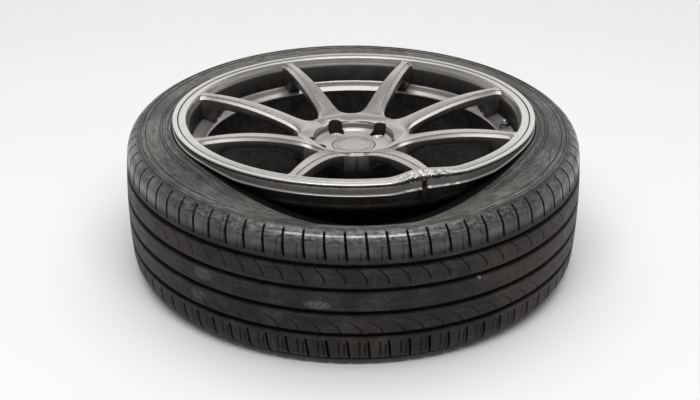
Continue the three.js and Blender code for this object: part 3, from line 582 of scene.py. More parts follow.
def make_wheel():
    wheel = make_rim()
    combine(wheel, make_pad(), "UNION")
    for i in range(SPOKES):
        combine(wheel, placed(make_spoke(), FIRST_SPOKE + i * 2 * SPOKE_HALF_ANGLE), "UNION")
    core = [(0, -PAD_TOP - 2, 0, 0), (50, -PAD_TOP - 2, 0, 0), (50, -44, 0, 0), (0, -44, 0, 0)]
    combine(wheel, turned("core", core), "UNION")
    hollow = make_recess()
    combine(hollow, make_bore(), "UNION")
    for angle in bolt_angles():
        combine(hollow, placed(make_pocket(), angle, (BOLT_CIRCLE, 0, 0)), "UNION")
    combine(wheel, hollow, "DIFFERENCE")
    seat, hole, relief = (placed(cut, VALVE_AZIMUTH, (VALVE_RADIUS, 0, 0)) for cut in make_valve_cuts())
    combine(seat, hole, "UNION")
    combine(seat, relief, "UNION")
    combine(wheel, seat, "DIFFERENCE")
    shade(wheel, CASTING_ANGLE)
    mark_wheel(wheel)
    return at_wheel(wheel)


def smooth(low, high, value):
    """Rounded step from 0 at low to 1 at high."""
    t = np.clip((value - low) / (high - low), 0, 1)
    return t * t * (3 - 2 * t)


def add_mask(obj, name, values, domain="POINT"):
    layer = obj.data.attributes.new(name, "FLOAT", domain)
    layer.data.foreach_set("value", np.asarray(values, np.float32))


def read(collection, key, width=1, kind=np.float32):
    """One property of every item in a mesh collection."""
    values = np.empty(len(collection) * width, kind)
    collection.foreach_get(key, values)
    return values.reshape(-1, width) if width > 1 else values


def within(span, azimuth):
    """1 inside a span of azimuths, with soft ends."""
    return smooth(*span[0], azimuth) * smooth(*span[1], azimuth)


def brake_dust_and_shade(radius, height, level, up):
    """Share of soot and painted shade at each corner: none on the face, more with depth as painted shade, its own
    on ledge, recess and flange, painted shade on the spoke sides and under the lip, and a painted highlight on the
    flange's lower edge.
    """
    depth = face_height(radius) - height
    # Painted shade: the deeper a point lies below the spoke face, the more soot colour it gets
    dust_and_shade = smooth(4, 15, depth)
    # Painted shade on the sideways faces of the spokes
    side = (up < 0.4) & (radius > 84) & (radius < LEDGE_RADIUS) & (depth > 4.6)
    dust_and_shade = np.where(side, np.maximum(dust_and_shade, SPOKE_SIDE_DUST_AND_SHADE), dust_and_shade)
    ledge = (up > 0.35) & (radius > BARREL_RADIUS - 2) & (radius < LEDGE_RADIUS) & (height > -LEDGE_FLOOR)
    dust_and_shade = np.where(ledge, LEDGE_DUST_AND_EDGE_HIGHLIGHT, dust_and_shade)
    recess = in_recess(radius, height)
    # Painted shade on the walls of the recess; its floor stays clean
    dust_and_shade = np.where(recess, RECESS_DUST_AND_SHADE * smooth(0.6, 0.2, up), dust_and_shade)
    dust_and_shade = np.where(recess & (radius < 53), 0, dust_and_shade)
    # Painted shade on the back of the barrel, under the flange and the tyre
    dust_and_shade = np.where((radius > LEDGE_RADIUS + 1) & (height < -OUTER_FLANGE - 0.5), BARREL_BACK_DUST_AND_SHADE, dust_and_shade)
    # Painted shade under the lip: full soot colour in the step below it, nearly full on the flange's side
    dust_and_shade = np.where(on_flange(radius, height), np.where(level > -4.9, 1, FLANGE_DUST_AND_SHADE), dust_and_shade)
    # Painted highlight: the flange's lower edge gets little soot colour, so it stays lighter than the flange
    return np.where(lower_edge(radius, height, level, up), LEDGE_DUST_AND_EDGE_HIGHLIGHT, dust_and_shade)


def in_recess(radius, height):
    return (radius < RECESS_RADIUS + 2) & (height > -RECESS_FLOOR - 1)


def on_flange(radius, height):
    return (radius > 243 - DENT_DEPTH) & (height < -1.6) & (height > -20)


def lower_edge(radius, height, level, up):
    """The flange's lower rolled edge, where it catches the light; it is painted lighter there as a painted
    highlight.
    """
    return on_flange(radius, height) & (radius > 247 - DENT_DEPTH) & (up > 0.25) & (level < -8)


def mark_wheel(obj):
    """Masks on the casting, per face corner: brake dust with painted shade, bare and rusty metal with a painted
    highlight along the flange's lower edge by the dent, the matt recess, the painted highlight on the lip.
    """
    mesh = obj.data
    faces = np.repeat(np.arange(len(mesh.polygons)), read(mesh.polygons, "loop_total", kind=np.int32))
    points = read(mesh.vertices, "co", 3)[read(mesh.loops, "vertex_index", kind=np.int32)] / METRE
    level = read(mesh.polygons, "center", 3)[faces, 2] / METRE
    up = read(mesh.polygons, "normal", 3)[faces, 2]
    radius, height = np.hypot(points[:, 0], points[:, 1]), points[:, 2]
    dust_and_shade = brake_dust_and_shade(radius, height, level, up)
    seat = np.zeros(len(dust_and_shade), bool)
    for angle in bolt_angles():
        x, y = BOLT_CIRCLE * math.cos(angle), BOLT_CIRCLE * math.sin(angle)
        near = np.hypot(points[:, 0] - x, points[:, 1] - y)
        # Painted shade on the pocket walls
        dust_and_shade = np.where((near < POCKET_RADIUS + 0.2) & (up < 0.6) & (level > CONE_TOP - 0.2), POCKET_DUST_AND_SHADE, dust_and_shade)
        seat |= (near < POCKET_RADIUS) & (level < CONE_TOP + 0.1) & (level > CONE_FOOT + 0.1) & (up > 0.3)
        # Painted shade down the bolt holes
        dust_and_shade = np.where((near < BOLT_HOLE_RADIUS + 0.3) & (level < CONE_FOOT - 0.1), 1, dust_and_shade)
    # Painted shade inside the barrel, below the ledge floor
    dust_and_shade = np.where((radius < LEDGE_RADIUS) & (height < -LEDGE_FLOOR) & ~in_recess(radius, height), 1, dust_and_shade)
    azimuth = np.degrees(np.arctan2(points[:, 1], points[:, 0])) % 360
    stations = np.linspace(0, 360, 1441)
    dent = DENT_DEPTH * np.interp(azimuth, stations, [dent_share(a) for a in stations])
    torn = smooth(235, 239, radius + dent) * smooth(-4.6, -2, height - DENT_RISE * dent / DENT_DEPTH)
    bare = within(BARE_SPAN, azimuth) * torn
    # Painted highlight, partly bare metal: the lower edge by the dent is painted bright
    bare_and_highlight_edge = within(LOWER_BARE_AND_HIGHLIGHT_SPAN, azimuth) * lower_edge(radius, height, level, up) * 0.7
    crack = 1 - smooth(0.7, 1.2, np.abs(azimuth - CRACK_AZIMUTH))
    rust = crack * (radius > 228) * (height > -19) * (height < -4.5)
    masks = {
        "dust_and_shade": np.where(seat, 0, dust_and_shade),
        "bare": np.maximum(np.maximum(bare, bare_and_highlight_edge) * (1 - rust), seat),
        "rust": rust,
        "matt": (radius < 54.5) & (up > 0.5) & (height > -49) & (height < -44),
        # Painted highlight: the lip's upward faces, to be painted lighter
        "lip": (radius > 229.5 - DENT_DEPTH) & (up > 0.6) & (level > -4) & (radius + dent > 229),
    }
    for name, values in masks.items():
        add_mask(obj, name, values, "CORNER")


# Tyre

def on_rim(azimuth, radius, height):
    """(radius, height) in the tyre's half plane of a circle on the leaning rim."""
    angle = azimuth
    to_ground = np.array(WHEEL_PLACE)
    for _ in range(4):
        place = to_ground @ np.array([radius * math.cos(angle), radius * math.sin(angle), height, 1])
        error = azimuth - math.atan2(place[1], place[0])
        angle += math.atan2(math.sin(error), math.cos(error))
    return np.array([math.hypot(place[0], place[1]), place[2]])


def bead_drop(azimuth):
    """How far the upper bead hangs below its seat."""
    offset = abs((math.degrees(azimuth) - DROP_AZIMUTH + 540) % 360 - 180)
    return BEAD_DROP * math.cos(offset / DROP_HALF_ARC * math.pi / 2) ** 2 if offset < DROP_HALF_ARC else 0.0


def tread_radius(offset):
    """Radius of the crowned tread at a height from its middle."""
    return TYRE_RADIUS - CROWN_DROP * (offset / TREAD_HALF) ** 2


def tread_outline():
    """Ribs and grooves from the lower edge to the upper, as (radius, offset from the middle)."""
    out = []
    edges = [-TREAD_HALF, *GROOVES, TREAD_HALF]
    last = len(GROOVES)
    for i in range(last + 1):
        low = edges[i] + (GROOVE_WIDTH / 2 if i else 0)
        high = edges[i + 1] - (GROOVE_WIDTH / 2 if i < last else 0)
        if i == 0:
            heights = [low, -64, -SLOT_START - SLOT_RISE, -SLOT_START, -SLOT_START + 0.4, high - 0.6, high]
        elif i == last:
            heights = [low, low + 0.6, SLOT_START - 0.4, SLOT_START, SLOT_START + SLOT_RISE, 64, high]
        else:
            heights = [low, low + 0.6, low + 0.3 * (high - low), low + 0.7 * (high - low), high - 0.6, high]
        for height in heights:
            rounding = 0.45 if height in (low, high) and abs(height) < TREAD_HALF else 0
            out.append((tread_radius(height) - rounding, height))
        if i < last:
            middle = edges[i + 1]
            floor = tread_radius(middle) - GROOVE_DEPTH
            half = GROOVE_FLOOR / 2
            out += [(floor + 0.8, middle - half - 0.1), (floor, middle - half + 0.7),
                    (floor, middle + half - 0.7), (floor + 0.8, middle + half + 0.1)]
    return np.array(out)


def shoulder_outline(side):
    """Curve from the tread's edge to the top of the wall; the side is 1 for the upper one, -1 for the lower."""
    edge = np.array([tread_radius(TREAD_HALF), TREAD_HALF])
    end = np.array(SHOULDER_EDGE)
    curve = bezier(
        edge, (edge[0] - 1.5, edge[1] + SHOULDER_PULL * 0.62),
        (end[0] + SHOULDER_PULL * 0.36, end[1] - SHOULDER_PULL * 0.19), end, 9,
    )
    return np.column_stack([curve[:, 0], side * curve[:, 1]])


def bead_outline(azimuth, flange, inward, drop):
    """Bead from its toe up to the wall, beside a flange at a depth on the rim."""
    base = SEAT_RADIUS + 0.8
    shape = [
        (base - 0.4, BEAD_WIDTH), (base - 0.2, BEAD_WIDTH - 1.5), (base + 0.3, 8), (base + 0.9, 5),
        (base + 2.3, 2.5), (base + 4.4, 0.9), (base + 7, 0.3), (base + 11, 0.3), (LIP_RADIUS + 1, 0.3),
    ]
    return np.array([on_rim(azimuth, r, -(flange + inward * o + drop)) for r, o in shape])


def wall_shares():
    """Even steps, with close ones at the raised rings."""
    shares = set(np.linspace(0, 1, 22))
    for centre, half, _ in WALL_RINGS:
        shares.update((centre - half, centre - half * 0.4, centre + half * 0.4, centre + half))
    return np.array(sorted(shares))


SHARES = wall_shares()


def slotted(band):
    """Tread and shoulders with the floor of a shoulder slot in place of their surface."""
    start = np.clip((np.abs(band[:, 1]) - SLOT_START) / SLOT_RISE, 0, 1)
    finish = np.clip((band[:, 0] - SLOT_END_RADIUS) / 6, 0, 1)
    depth = SLOT_DEPTH * start * finish
    return np.column_stack([band[:, 0] - depth, band[:, 1] - np.sign(band[:, 1]) * depth * 0.12])


def liner(azimuth, drop, upper_wall, lower_wall):
    """Inside of the tyre, from the upper bead's toe down to the lower one's."""
    inside = TYRE_RADIUS - TREAD_THICKNESS
    top, bottom = TREAD_MID + TREAD_HALF, TREAD_MID - TREAD_HALF
    return np.vstack([
        [on_rim(azimuth, SEAT_RADIUS + 4, -(OUTER_FLANGE + BEAD_WIDTH + 0.5 + drop))],
        [on_rim(azimuth, SEAT_RADIUS + BEAD_THICKNESS, -(OUTER_FLANGE + BEAD_WIDTH - 3 + drop))],
        offset_curve(upper_wall, -WALL)[::-1][6:-4:5],
        [(inside - 5, top + 9), (inside - 1.5, top - 2), (inside, top - 14)],
        [(inside, bottom + 14), (inside - 1.5, bottom + 4), (inside - 5, bottom - 7)],
        [(CONTACT_OUTER - 2, WALL + 1)],
        offset_curve(lower_wall, -WALL)[::-1][1:-2:2],
        [on_rim(azimuth, SEAT_RADIUS + BEAD_THICKNESS, -(INNER_FACE - BEAD_WIDTH + 3))],
        [on_rim(azimuth, SEAT_RADIUS + 4, -(INNER_FACE - BEAD_WIDTH - 0.5))],
    ])


def tyre_section(azimuth, in_slot):
    """Section at an azimuth, with each point's shift around, whether it is on the tread's outer face and its share
    of the wall.
    """
    drop = bead_drop(azimuth)
    upper_bead = bead_outline(azimuth, OUTER_FLANGE, 1, drop)
    lower_bead = bead_outline(azimuth, INNER_FACE, -1, 0)
    upper_shoulder = shoulder_outline(1)[1:]
    lower_shoulder = shoulder_outline(-1)[1:][::-1]
    surface = np.vstack([lower_shoulder, tread_outline(), upper_shoulder])
    band = slotted(surface) if in_slot else surface.copy()
    slant = -SLOT_SLANT * np.clip(np.abs(band[:, 1]) - SLOT_START + 1, 0, None) * np.sign(band[:, 1])
    crown = np.where(np.abs(surface[:, 1]) < TREAD_HALF + 1, tread_radius(surface[:, 1]), surface[:, 0])
    # 1 on the tread's outer face, 0 down in the grooves and slots, which are painted in shade
    tread_face = 1 - np.clip((crown - band[:, 0] - 0.6) / 0.8, 0, 1)
    band[:, 1] += TREAD_MID

    top = upper_shoulder[-1] + (0, TREAD_MID)
    start = upper_bead[-1]
    smooth_wall = cubic(top, top + (-16, 1.2), start + (15, drop * 0.12), start, SHARES)
    wall = with_rings(smooth_wall)
    foot = lower_bead[-1]
    contact = max(CONTACT_INNER, foot[0] + 0.4 * foot[1])
    low_wall = bezier(foot, foot + (8, -1.5), (contact - 8, 0), (contact, 0), 9)
    below = [lower_bead, low_wall[1:], [(CONTACT_OUTER - 8, 0), (CONTACT_OUTER, 0)]]
    inside = liner(azimuth, drop, smooth_wall, low_wall)
    section = np.vstack(below + [band, wall[1:-1], upper_bead[::-1], inside])
    lead = sum(len(part) for part in below)
    end = lead + len(band)
    shift, tread_mask, wall_mask = np.zeros(len(section)), np.zeros(len(section)), np.full(len(section), -1.0)
    shift[lead:end] = slant
    shift[end:end + 8] = slant[-1] * np.linspace(1, 0, 8)
    tread_mask[lead:end] = tread_face
    wall_mask[end - 1:end + len(SHARES) - 2] = SHARES[:-1]
    return section, shift, tread_mask, wall_mask


def with_rings(curve):
    """Wall with its raised rings."""
    lift = np.zeros(len(curve))
    for centre, half, height in WALL_RINGS:
        lift = np.maximum(lift, height * (np.abs(SHARES - centre) < half * 0.6))
    return offset_curve(curve, lift)


def make_tyre():
    """One section per azimuth, with close columns at the walls of each shoulder slot."""
    pitch = 2 * math.pi / PITCHES
    loops, tread_face, wall = [], [], []
    for i in range(PITCHES):
        for offset in SLOT_STATIONS:
            azimuth = i * pitch + offset / TYRE_RADIUS
            section, shift, tread_mask, wall_mask = tyre_section(azimuth, abs(offset) < SLOT_HALF)
            radius, height = section.T
            angle = azimuth + shift / TYRE_RADIUS
            loops.append(np.column_stack([radius * np.cos(angle), radius * np.sin(angle), height]))
            tread_face.append(tread_mask)
            wall.append(wall_mask)
    tyre = skin("tyre_rubber", loops, ring=True)
    add_mask(tyre, "tread_face", np.concatenate(tread_face))
    add_mask(tyre, "wall", np.concatenate(wall))
    return tyre


# Small parts

def make_cap():
    """Centre cap with a ring groove in its face, and tabs parted by slits."""
    cap = turned("hub_cap", [
        (0, -51, 0, 0), (23.5, -51, 1, 2), (23.5, -71.3, 0.3, 1), (25, -71.3, 0.3, 1), (26.7, -69.3, 0.3, 1),
        (25.1, -68.3, 0.3, 1), (25.1, -53.7, 0.2, 1), (27.2, -53.7, 0.3, 1), (27.2, -49.6, 0.2, 1),
        (29.2, -49.6, 0.2, 1), (29.2, -48.5, 0.5, 3), (28.4, -48, 0.4, 2), (25.6, -48, 0.2, 2),
        (25.2, -49, 0.2, 2), (24, -49, 0.2, 2), (23.6, -48, 0.2, 2), (12, -48.15, 3, 2), (0, -48.3, 0, 0),
    ], 96)
    for i in range(CAP_SLITS):
        slit = placed(box_mesh("slit", SLIT_SIZE), i * math.pi / CAP_SLITS, (0, 0, SLIT_LEVEL))
        combine(cap, slit, "DIFFERENCE")
    shade(cap, CASTING_ANGLE)
    return at_wheel(cap)


def box_mesh(name, size):
    x, y, z = (s / 2 for s in size)
    points = [(sx * x, sy * y, sz * z) for sz in (-1, 1) for sy in (-1, 1) for sx in (-1, 1)]
    faces = [(0, 2, 3, 1), (4, 5, 7, 6), (0, 1, 5, 4), (2, 6, 7, 3), (0, 4, 6, 2), (1, 3, 7, 5)]
    return make_mesh(name, points, faces)


def make_valve():
    """Rubber stem and its metal screw cap."""
    stem = turned("valve_rubber", [
        (0, -51.8, 0, 0), (3.4, -51.8, 0.8, 2), (4.2, -50.5, 1, 2), (6.7, -46.4, 0.8, 2), (6.8, -44.8, 0.3, 1),
        (5.3, -44.8, 0.2, 1), (5.3, -40.2, 0.2, 1), (7, -40.2, 0.4, 2), (6.4, -38.6, 0.6, 3), (4.7, -37.2, 0.8, 3),
        (3.8, -34.8, 0.2, 2), (2.3, -34.7, 0.1, 1), (2.3, -29.9, 0.4, 2), (0, -29.7, 0, 0),
    ], 40)
    cap = turned("valve_top", [
        (0, -29.4, 0, 0), (2.7, -29.4, 0.1, 1), (2.7, -33.6, 0.1, 1), (3.3, -33.6, 0.2, 2), (3.2, -29.1, 0.3, 2),
        (2.6, -28.4, 0.4, 3), (0, -28.3, 0, 0),
    ], 40)
    for piece in (stem, cap):
        placed(piece, VALVE_AZIMUTH, (VALVE_RADIUS, 0, 0))
        at_wheel(piece)
    return stem, cap


# Materials

class Nodes:
    """Short way to add and join the shader nodes of a material or a world."""

    def __init__(self, owner, shader, coords):
        owner.use_nodes = True
        self.owner, self.tree = owner, owner.node_tree
        self.shader = self.tree.nodes[shader]
        self.coords = self.add("TexCoord").outputs[coords]

    def add(self, kind, inputs=None, **settings):
        node = self.tree.nodes.new("ShaderNode" + kind)
        for key, value in settings.items():
            setattr(node, key, value)
        for key, value in (inputs or {}).items():
            self.join(value, node.inputs[key])
        return node

    def join(self, value, socket):
        if isinstance(value, bpy.types.NodeSocket):
            self.tree.links.new(value, socket)
        else:
            socket.default_value = value

    def noise(self, scale, detail=4, rough=0.6, vector=None, distortion=0):
        return self.add("TexNoise", {
            "Vector": vector or self.coords, "Scale": scale, "Detail": detail,
            "Roughness": rough, "Distortion": distortion,
        }).outputs["Fac"]

    def ramp(self, value, low, high, start=0.0, end=1.0):
        return self.add("MapRange", {
            "Value": value, "From Min": low, "From Max": high, "To Min": start, "To Max": end,
        }).outputs["Result"]

    def blend(self, factor, a, b):
        """Mix of two colours, each a socket or (red, green, blue)."""
        node = self.add("Mix", {0: factor}, data_type="RGBA")
        for slot, value in ((6, a), (7, b)):
            self.join((*value, 1) if isinstance(value, tuple) else value, node.inputs[slot])
        return node.outputs[2]

    def mix(self, factor, a, b):
        return self.add("Mix", {0: factor, 2: a, 3: b}).outputs[0]

    def maths(self, operation, a, b=0.0):
        return self.add("Math", {0: a, 1: b}, operation=operation).outputs[0]

    def plus(self, a, b):
        return self.maths("ADD", a, b)

    def minus(self, a, b):
        return self.maths("SUBTRACT", a, b)

    def times(self, a, b):
        return self.maths("MULTIPLY", a, b)

    def most(self, a, b):
        return self.maths("MAXIMUM", a, b)

    def apart(self, a, b):
        return self.maths("ABSOLUTE", self.minus(a, b))

    def below(self, value, limit):
        return self.maths("LESS_THAN", value, limit)

    def above(self, value, limit):
        return self.maths("GREATER_THAN", value, limit)

    def vector(self, x, y, z=0.0):
        return self.add("CombineXYZ", {"X": x, "Y": y, "Z": z}).outputs[0]

    def split(self):
        return self.add("SeparateXYZ", {"Vector": self.coords}).outputs

    def mask(self, name):
        return self.add("Attribute", attribute_name=name).outputs["Fac"]

    def bump(self, height, strength, distance, **normal):
        inputs = {"Height": height, "Strength": strength, "Distance": distance, **normal}
        return self.add("Bump", inputs).outputs["Normal"]

    def set(self, **inputs):
        """Fill sockets of the shader, named with underscores for spaces; gives the material or world back."""
        for key, value in inputs.items():
            self.join(value, self.shader.inputs[key.replace("_", " ")])
        return self.owner


def new_material(name):
    return Nodes(bpy.data.materials.new(name), "Principled BSDF", "Object")


def alloy_paint(dusty=True):
    """Satin gunmetal paint with a fine flake, brake dust and painted shade in its hollows, a painted highlight on
    the lip, and bare metal at the kerbed lip.
    """
    n = new_material("alloy_paint" if dusty else "cap_paint")
    flake = n.noise(1400, 2)
    smear = n.noise(38, 5, 0.7, distortion=0.6)
    speck = n.ramp(n.noise(420, 3, 0.7), 0.66, 0.72)
    base = n.blend(n.noise(11, 6, 0.6), PAINT_DARK, PAINT_LIGHT)
    base = n.blend(n.times(flake, 0.25), base, FLAKE)
    base = n.blend(n.ramp(smear, 0.55, 0.8, 0, 0.3), base, SMEAR)
    base = n.blend(n.times(speck, 0.05), base, SPECK)
    rough = n.ramp(smear, 0.3, 0.8, 0.25, 0.37)
    bump = n.bump(flake, 0.015, 0.0002)
    if not dusty:
        return n.set(Base_Color=n.blend(0.4, base, CAP_TINT), Roughness=rough, Metallic=MATT_METAL, Normal=bump)
    # Painted highlight: the lip's upper faces are lightened
    base = n.blend(n.times(n.mask("lip"), 0.38), base, LIP_HIGHLIGHT)
    grime = n.noise(60, 8, 0.72, distortion=0.4)
    # Soot colour, both brake dust and painted shade, from the casting's mask
    dust_and_shade = n.times(n.mask("dust_and_shade"), n.ramp(grime, 0.25, 0.6, 0.86, 1.0))
    base = n.blend(dust_and_shade, base, n.blend(grime, SOOT_AND_SHADE_DARK, SOOT_AND_SHADE_LIGHT))
    rough = n.mix(dust_and_shade, rough, 0.45)
    torn = n.noise(260, 6, 0.75, distortion=1.2)
    ragged = n.plus(n.mask("bare"), n.ramp(n.noise(130, 5, 0.7), 0.3, 0.7, -0.6, 0.25))
    bare = n.ramp(ragged, 0.42, 0.5)
    base = n.blend(bare, base, n.blend(n.ramp(torn, 0.38, 0.55), BARE_DARK, BARE_LIGHT))
    base = n.blend(n.ramp(n.mask("rust"), 0.3, 0.7), base, RUST)
    metallic = n.ramp(n.mask("matt"), 0.0, 1.0, PAINT_METAL, MATT_METAL)
    metallic = n.most(metallic, n.times(bare, PAINT_METAL))
    scratched = n.bump(n.times(torn, bare), 0.9, 0.0016, Normal=bump)
    return n.set(Base_Color=base, Roughness=rough, Metallic=metallic, Normal=scratched)


def sipe(n, turn, height, phase, top, bottom, sweep, width):
    """1 on a curved cut from one height down to another, once a pitch; lengths in millimetres."""
    pitch = 2 * math.pi * TYRE_RADIUS / PITCHES
    rest = n.minus(1.0, n.ramp(height, top, bottom))
    curve = n.times(n.minus(1.0, n.times(rest, rest)), sweep)
    place = n.times(n.maths("FRACT", n.plus(turn, phase)), pitch)
    gap = n.apart(place, n.plus(curve, SIPE_INSET))
    near = n.ramp(gap, width / 2, width / 2 + 0.25, 1, 0)
    return n.times(near, n.times(n.below(height, top), n.above(height, bottom)))


def scuffed(n, base, degrees, height):
    """Tread colour with an oval, broken-up mark of each scuff."""
    weave = n.most(n.ramp(n.noise(420, 3, 0.7, distortion=1.0), 0.5, 0.56), 0.25)
    for azimuth, level, half_arc, half_height, colour in SCUFFS:
        across = n.maths("DIVIDE", n.minus(degrees, azimuth), half_arc)
        along = n.maths("DIVIDE", n.minus(height, level), half_height)
        reach = n.plus(n.times(across, across), n.times(along, along))
        base = n.blend(n.times(n.ramp(reach, 1.0, 0.4), weave), base, colour)
    return base


def chalked(n, base, around, wall):
    """Wall colour with chalky smears along it and a painted shade line beside each ring."""
    at = n.vector(n.times(around, 14), n.times(wall, 24))
    smear = n.ramp(n.noise(1.0, 7, 0.68, vector=at, distortion=0.3), 0.38, 0.68, 0.12, 1.0)
    drift = n.ramp(n.noise(6, 3, 0.6), 0.36, 0.6, 0.3, 1.0)
    base = n.blend(n.times(n.times(smear, drift), n.above(wall, 0.02)), base, CHALK)
    for centre, half, _ in WALL_RINGS:
        # Painted shade beside each raised ring
        gap = n.apart(wall, centre + 1.6 * half)
        base = n.blend(n.ramp(gap, 0.009, 0.02, 0.75, 0.0), base, RING_SHADE_LINE)
    return base


def hatched(n, around, wall):
    """1 on the fine teeth that stand in blocks along one band of the wall."""
    teeth = n.above(n.maths("SINE", n.times(around, 540)), 0.2)
    band = n.times(n.above(wall, 0.3), n.below(wall, 0.44))
    return n.times(n.times(teeth, band), n.above(n.maths("SINE", n.times(around, 9)), 0.1))


def tyre_rubber():
    """Black rubber: scuffed and dusty on the ribs, painted shade down in the grooves, rings and chalk on the wall
    with a painted shade line beside each ring, and a painted highlight on the upper shoulder.
    """
    n = new_material("tyre_rubber")
    place = n.split()
    around = n.maths("ARCTAN2", place["Y"], place["X"])
    turn = n.times(around, PITCHES / (2 * math.pi))
    degrees = n.times(n.maths("FRACT", n.plus(n.times(around, 0.5 / math.pi), 1.0)), 360)
    height = n.times(n.minus(place["Z"], TREAD_MID * METRE), 1 / METRE)
    flat = n.vector(place["X"], place["Y"])
    radius = n.add("VectorMath", {0: flat}, operation="LENGTH").outputs["Value"]
    tread_face, wall = n.mask("tread_face"), n.mask("wall")
    fine, patch = n.noise(240, 6, 0.7), n.noise(22, 7, 0.7, distortion=0.5)

    base = n.blend(n.ramp(n.noise(7, 3, 0.5), 0.42, 0.5), RUBBER_GREEN, RUBBER_BLUE)
    base = n.blend(n.ramp(n.noise(5.3, 3, 0.55), 0.54, 0.62), base, RUBBER_RED)
    dusty = n.times(n.ramp(patch, 0.46, 0.72), n.ramp(fine, 0.35, 0.7))
    base = scuffed(n, n.blend(n.times(dusty, 0.6), base, TREAD_DUST), degrees, height)
    streak_at = n.vector(n.times(around, 6), n.times(place["Z"], 160), n.times(radius, 160))
    streak = n.noise(1.0, 5, 0.7, vector=streak_at)
    base = chalked(n, n.blend(n.ramp(streak, 0.5, 0.75, 0, 0.3), base, STREAKS), around, wall)
    # Painted shade: grooves, slots, beads, lower wall and the tyre's inside are painted near black
    deep = n.times(n.minus(1.0, tread_face), n.below(wall, 0.0))
    base = n.blend(n.times(deep, 0.93), base, GROOVE_SHADE)
    lines = 0.0
    for cut in SIPES:
        lines = n.most(lines, sipe(n, turn, height, *cut))
    lines = n.times(lines, n.most(tread_face, 0))
    base = n.blend(lines, base, SIPE_BLACK)
    # Painted highlight: light grey streaks on the upper shoulder, strongest at the front
    highlight_at = n.vector(n.times(around, 30), n.times(height, 0.3))
    highlight_streak = n.ramp(n.noise(1.0, 6, 0.7, vector=highlight_at), 0.42, 0.62)
    band = n.times(n.ramp(height, 76, 84), n.ramp(height, 94, 90))
    facing = n.ramp(n.apart(degrees, SHOULDER_HIGHLIGHT_AZIMUTH), 20, 50, 0.95, 0.3)
    base = n.blend(n.times(n.times(highlight_streak, band), n.times(tread_face, facing)), base, SHOULDER_HIGHLIGHT)

    rough = n.plus(n.times(fine, 0.5), n.times(patch, 0.5))
    rough = n.plus(n.ramp(rough, 0.35, 0.62, 0.30, 0.62), n.times(deep, 0.25))
    edge = n.times(n.ramp(height, 60, 70), n.ramp(height, 94, 88))
    polish = n.times(n.times(edge, tread_face), n.ramp(patch, 0.62, 0.42, 0.25, 1.0))
    relief = n.plus(n.times(fine, 0.12), n.times(hatched(n, around, wall), 0.5))
    relief = n.minus(relief, n.times(lines, 1.5))
    relief = n.minus(relief, n.times(n.ramp(n.noise(90, 5, 0.75), 0.62, 0.7), 0.35))
    return n.set(
        Base_Color=base, Roughness=rough, Specular_IOR_Level=0.12, Coat_Weight=polish, Coat_Roughness=0.22,
        Coat_IOR=1.8, Normal=n.bump(relief, 0.9, 0.0008),
    )


def plain(name, colour, roughness, metallic=0.0):
    """Material of one slightly uneven colour."""
    n = new_material(name)
    cloud = n.noise(50, 4)
    dark, light = (tuple(c * share for c in colour) for share in (0.85, 1.12))
    return n.set(
        Base_Color=n.blend(cloud, dark, light), Metallic=metallic,
        Roughness=n.ramp(cloud, 0.3, 0.7, roughness - 0.06, roughness + 0.06),
        Normal=n.bump(n.noise(400, 3), 0.1, 0.0003),
    )


def dress(obj, material, slot, *nodes):
    obj.data.materials.clear()
    obj.data.materials.append(material)
    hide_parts(*nodes)
    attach(obj, "root")


# Stage

def make_floor():
    """Wide white ground, just under the part."""
    corners = [(x * FLOOR_HALF, y * FLOOR_HALF, -FLOOR_DEPTH) for x, y in ((-1, -1), (1, -1), (1, 1), (-1, 1))]
    floor = make_mesh("floor", corners, [(0, 1, 2, 3)])
    n = new_material("floor_white")
    floor.data.materials.append(n.set(Base_Color=(*FLOOR_WHITE, 1), Roughness=0.9, Specular_IOR_Level=0.1))


def make_camera():
    camera = bpy.data.cameras.new("camera")
    camera.sensor_width = SENSOR_WIDTH
    camera.lens = SENSOR_WIDTH * FOCAL_PIXELS / IMAGE_WIDTH
    obj = bpy.data.objects.new("camera", camera)
    bpy.context.scene.collection.objects.link(obj)
    turn = (
        Matrix.Rotation(-CAMERA_YAW, 4, "Z")
        @ Matrix.Rotation(math.pi / 2 - CAMERA_DOWN, 4, "X")
        @ Matrix.Rotation(CAMERA_ROLL, 4, "Z")
    )
    obj.matrix_world = Matrix.Translation(Vector(CAMERA_PLACE) * METRE) @ turn
    bpy.context.scene.camera = obj


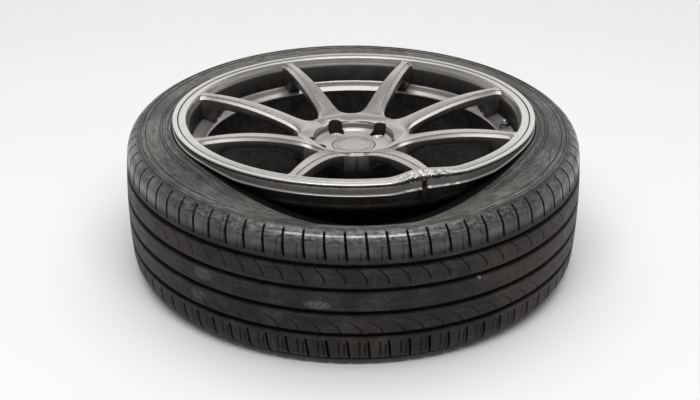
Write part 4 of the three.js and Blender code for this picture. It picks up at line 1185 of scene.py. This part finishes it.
def area_light(name, place, target, size, power):
    """Rectangular lamp that faces its target."""
    light = bpy.data.lights.new(name, "AREA")
    light.shape = "RECTANGLE"
    light.size, light.size_y = size
    light.energy = power
    obj = bpy.data.objects.new(name, light)
    bpy.context.scene.collection.objects.link(obj)
    direction = Vector(target) - Vector(place)
    obj.matrix_world = Matrix.Translation(place) @ direction.to_track_quat("-Z", "Y").to_matrix().to_4x4()


def make_light():
    """Grey sky with a glow behind the part, a pale backdrop low down that lights nothing matt, and the lamps."""
    n = Nodes(bpy.data.worlds.new("studio"), "Background", "Generated")
    way = n.split()
    sky = n.ramp(way["Z"], *SKY_SPAN, SKY_LOW, SKY_HIGH)
    glow = n.times(n.ramp(way["Y"], *GLOW_BACK), n.ramp(way["Z"], *GLOW_TOP))
    path = n.add("LightPath").outputs
    seen = path["Is Camera Ray"]
    for ray in ("Is Glossy Ray", "Is Transmission Ray"):
        seen = n.most(seen, path[ray])
    low = n.times(seen, n.ramp(way["Z"], *BACKDROP_TOP))
    bpy.context.scene.world = n.set(Color=(1, 1, 1, 1), Strength=n.mix(low, n.plus(sky, glow), BACKDROP))
    for name, settings in LAMPS.items():
        area_light(name, *settings)


def main():
    make_camera()
    make_light()
    make_floor()
    paint = alloy_paint()
    rubber = tyre_rubber()
    dress(make_wheel(), paint, "alloy", "alloy_wheel")
    dress(make_tyre(), rubber, "tyre_rubber", "tyre")
    dress(make_cap(), alloy_paint(dusty=False), "cap", "centre_cap")
    stem, cap = make_valve()
    dress(stem, plain("valve_rubber", (0.03, 0.03, 0.03), 0.6), "valve_rubber", "valve_stem")
    dress(cap, plain("valve_nickel", (0.72, 0.70, 0.67), 0.3, 0.9), "valve_cap_metal", "valve_cap")
    spring = plain("spring_steel", (0.55, 0.55, 0.54), 0.35, 1.0)
    zinc = plain("weight_zinc", (0.45, 0.46, 0.46), 0.5, 0.8)
    carried_over = {"cap_clip_ring": spring, "balance_weights_outer": zinc, "balance_weights_inner": zinc}
    for name, material in carried_over.items():
        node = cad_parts[name]
        node.data.materials.clear()
        node.data.materials.append(material)


main()
scene = bpy.context.scene
scene.view_settings.view_transform = "Standard"
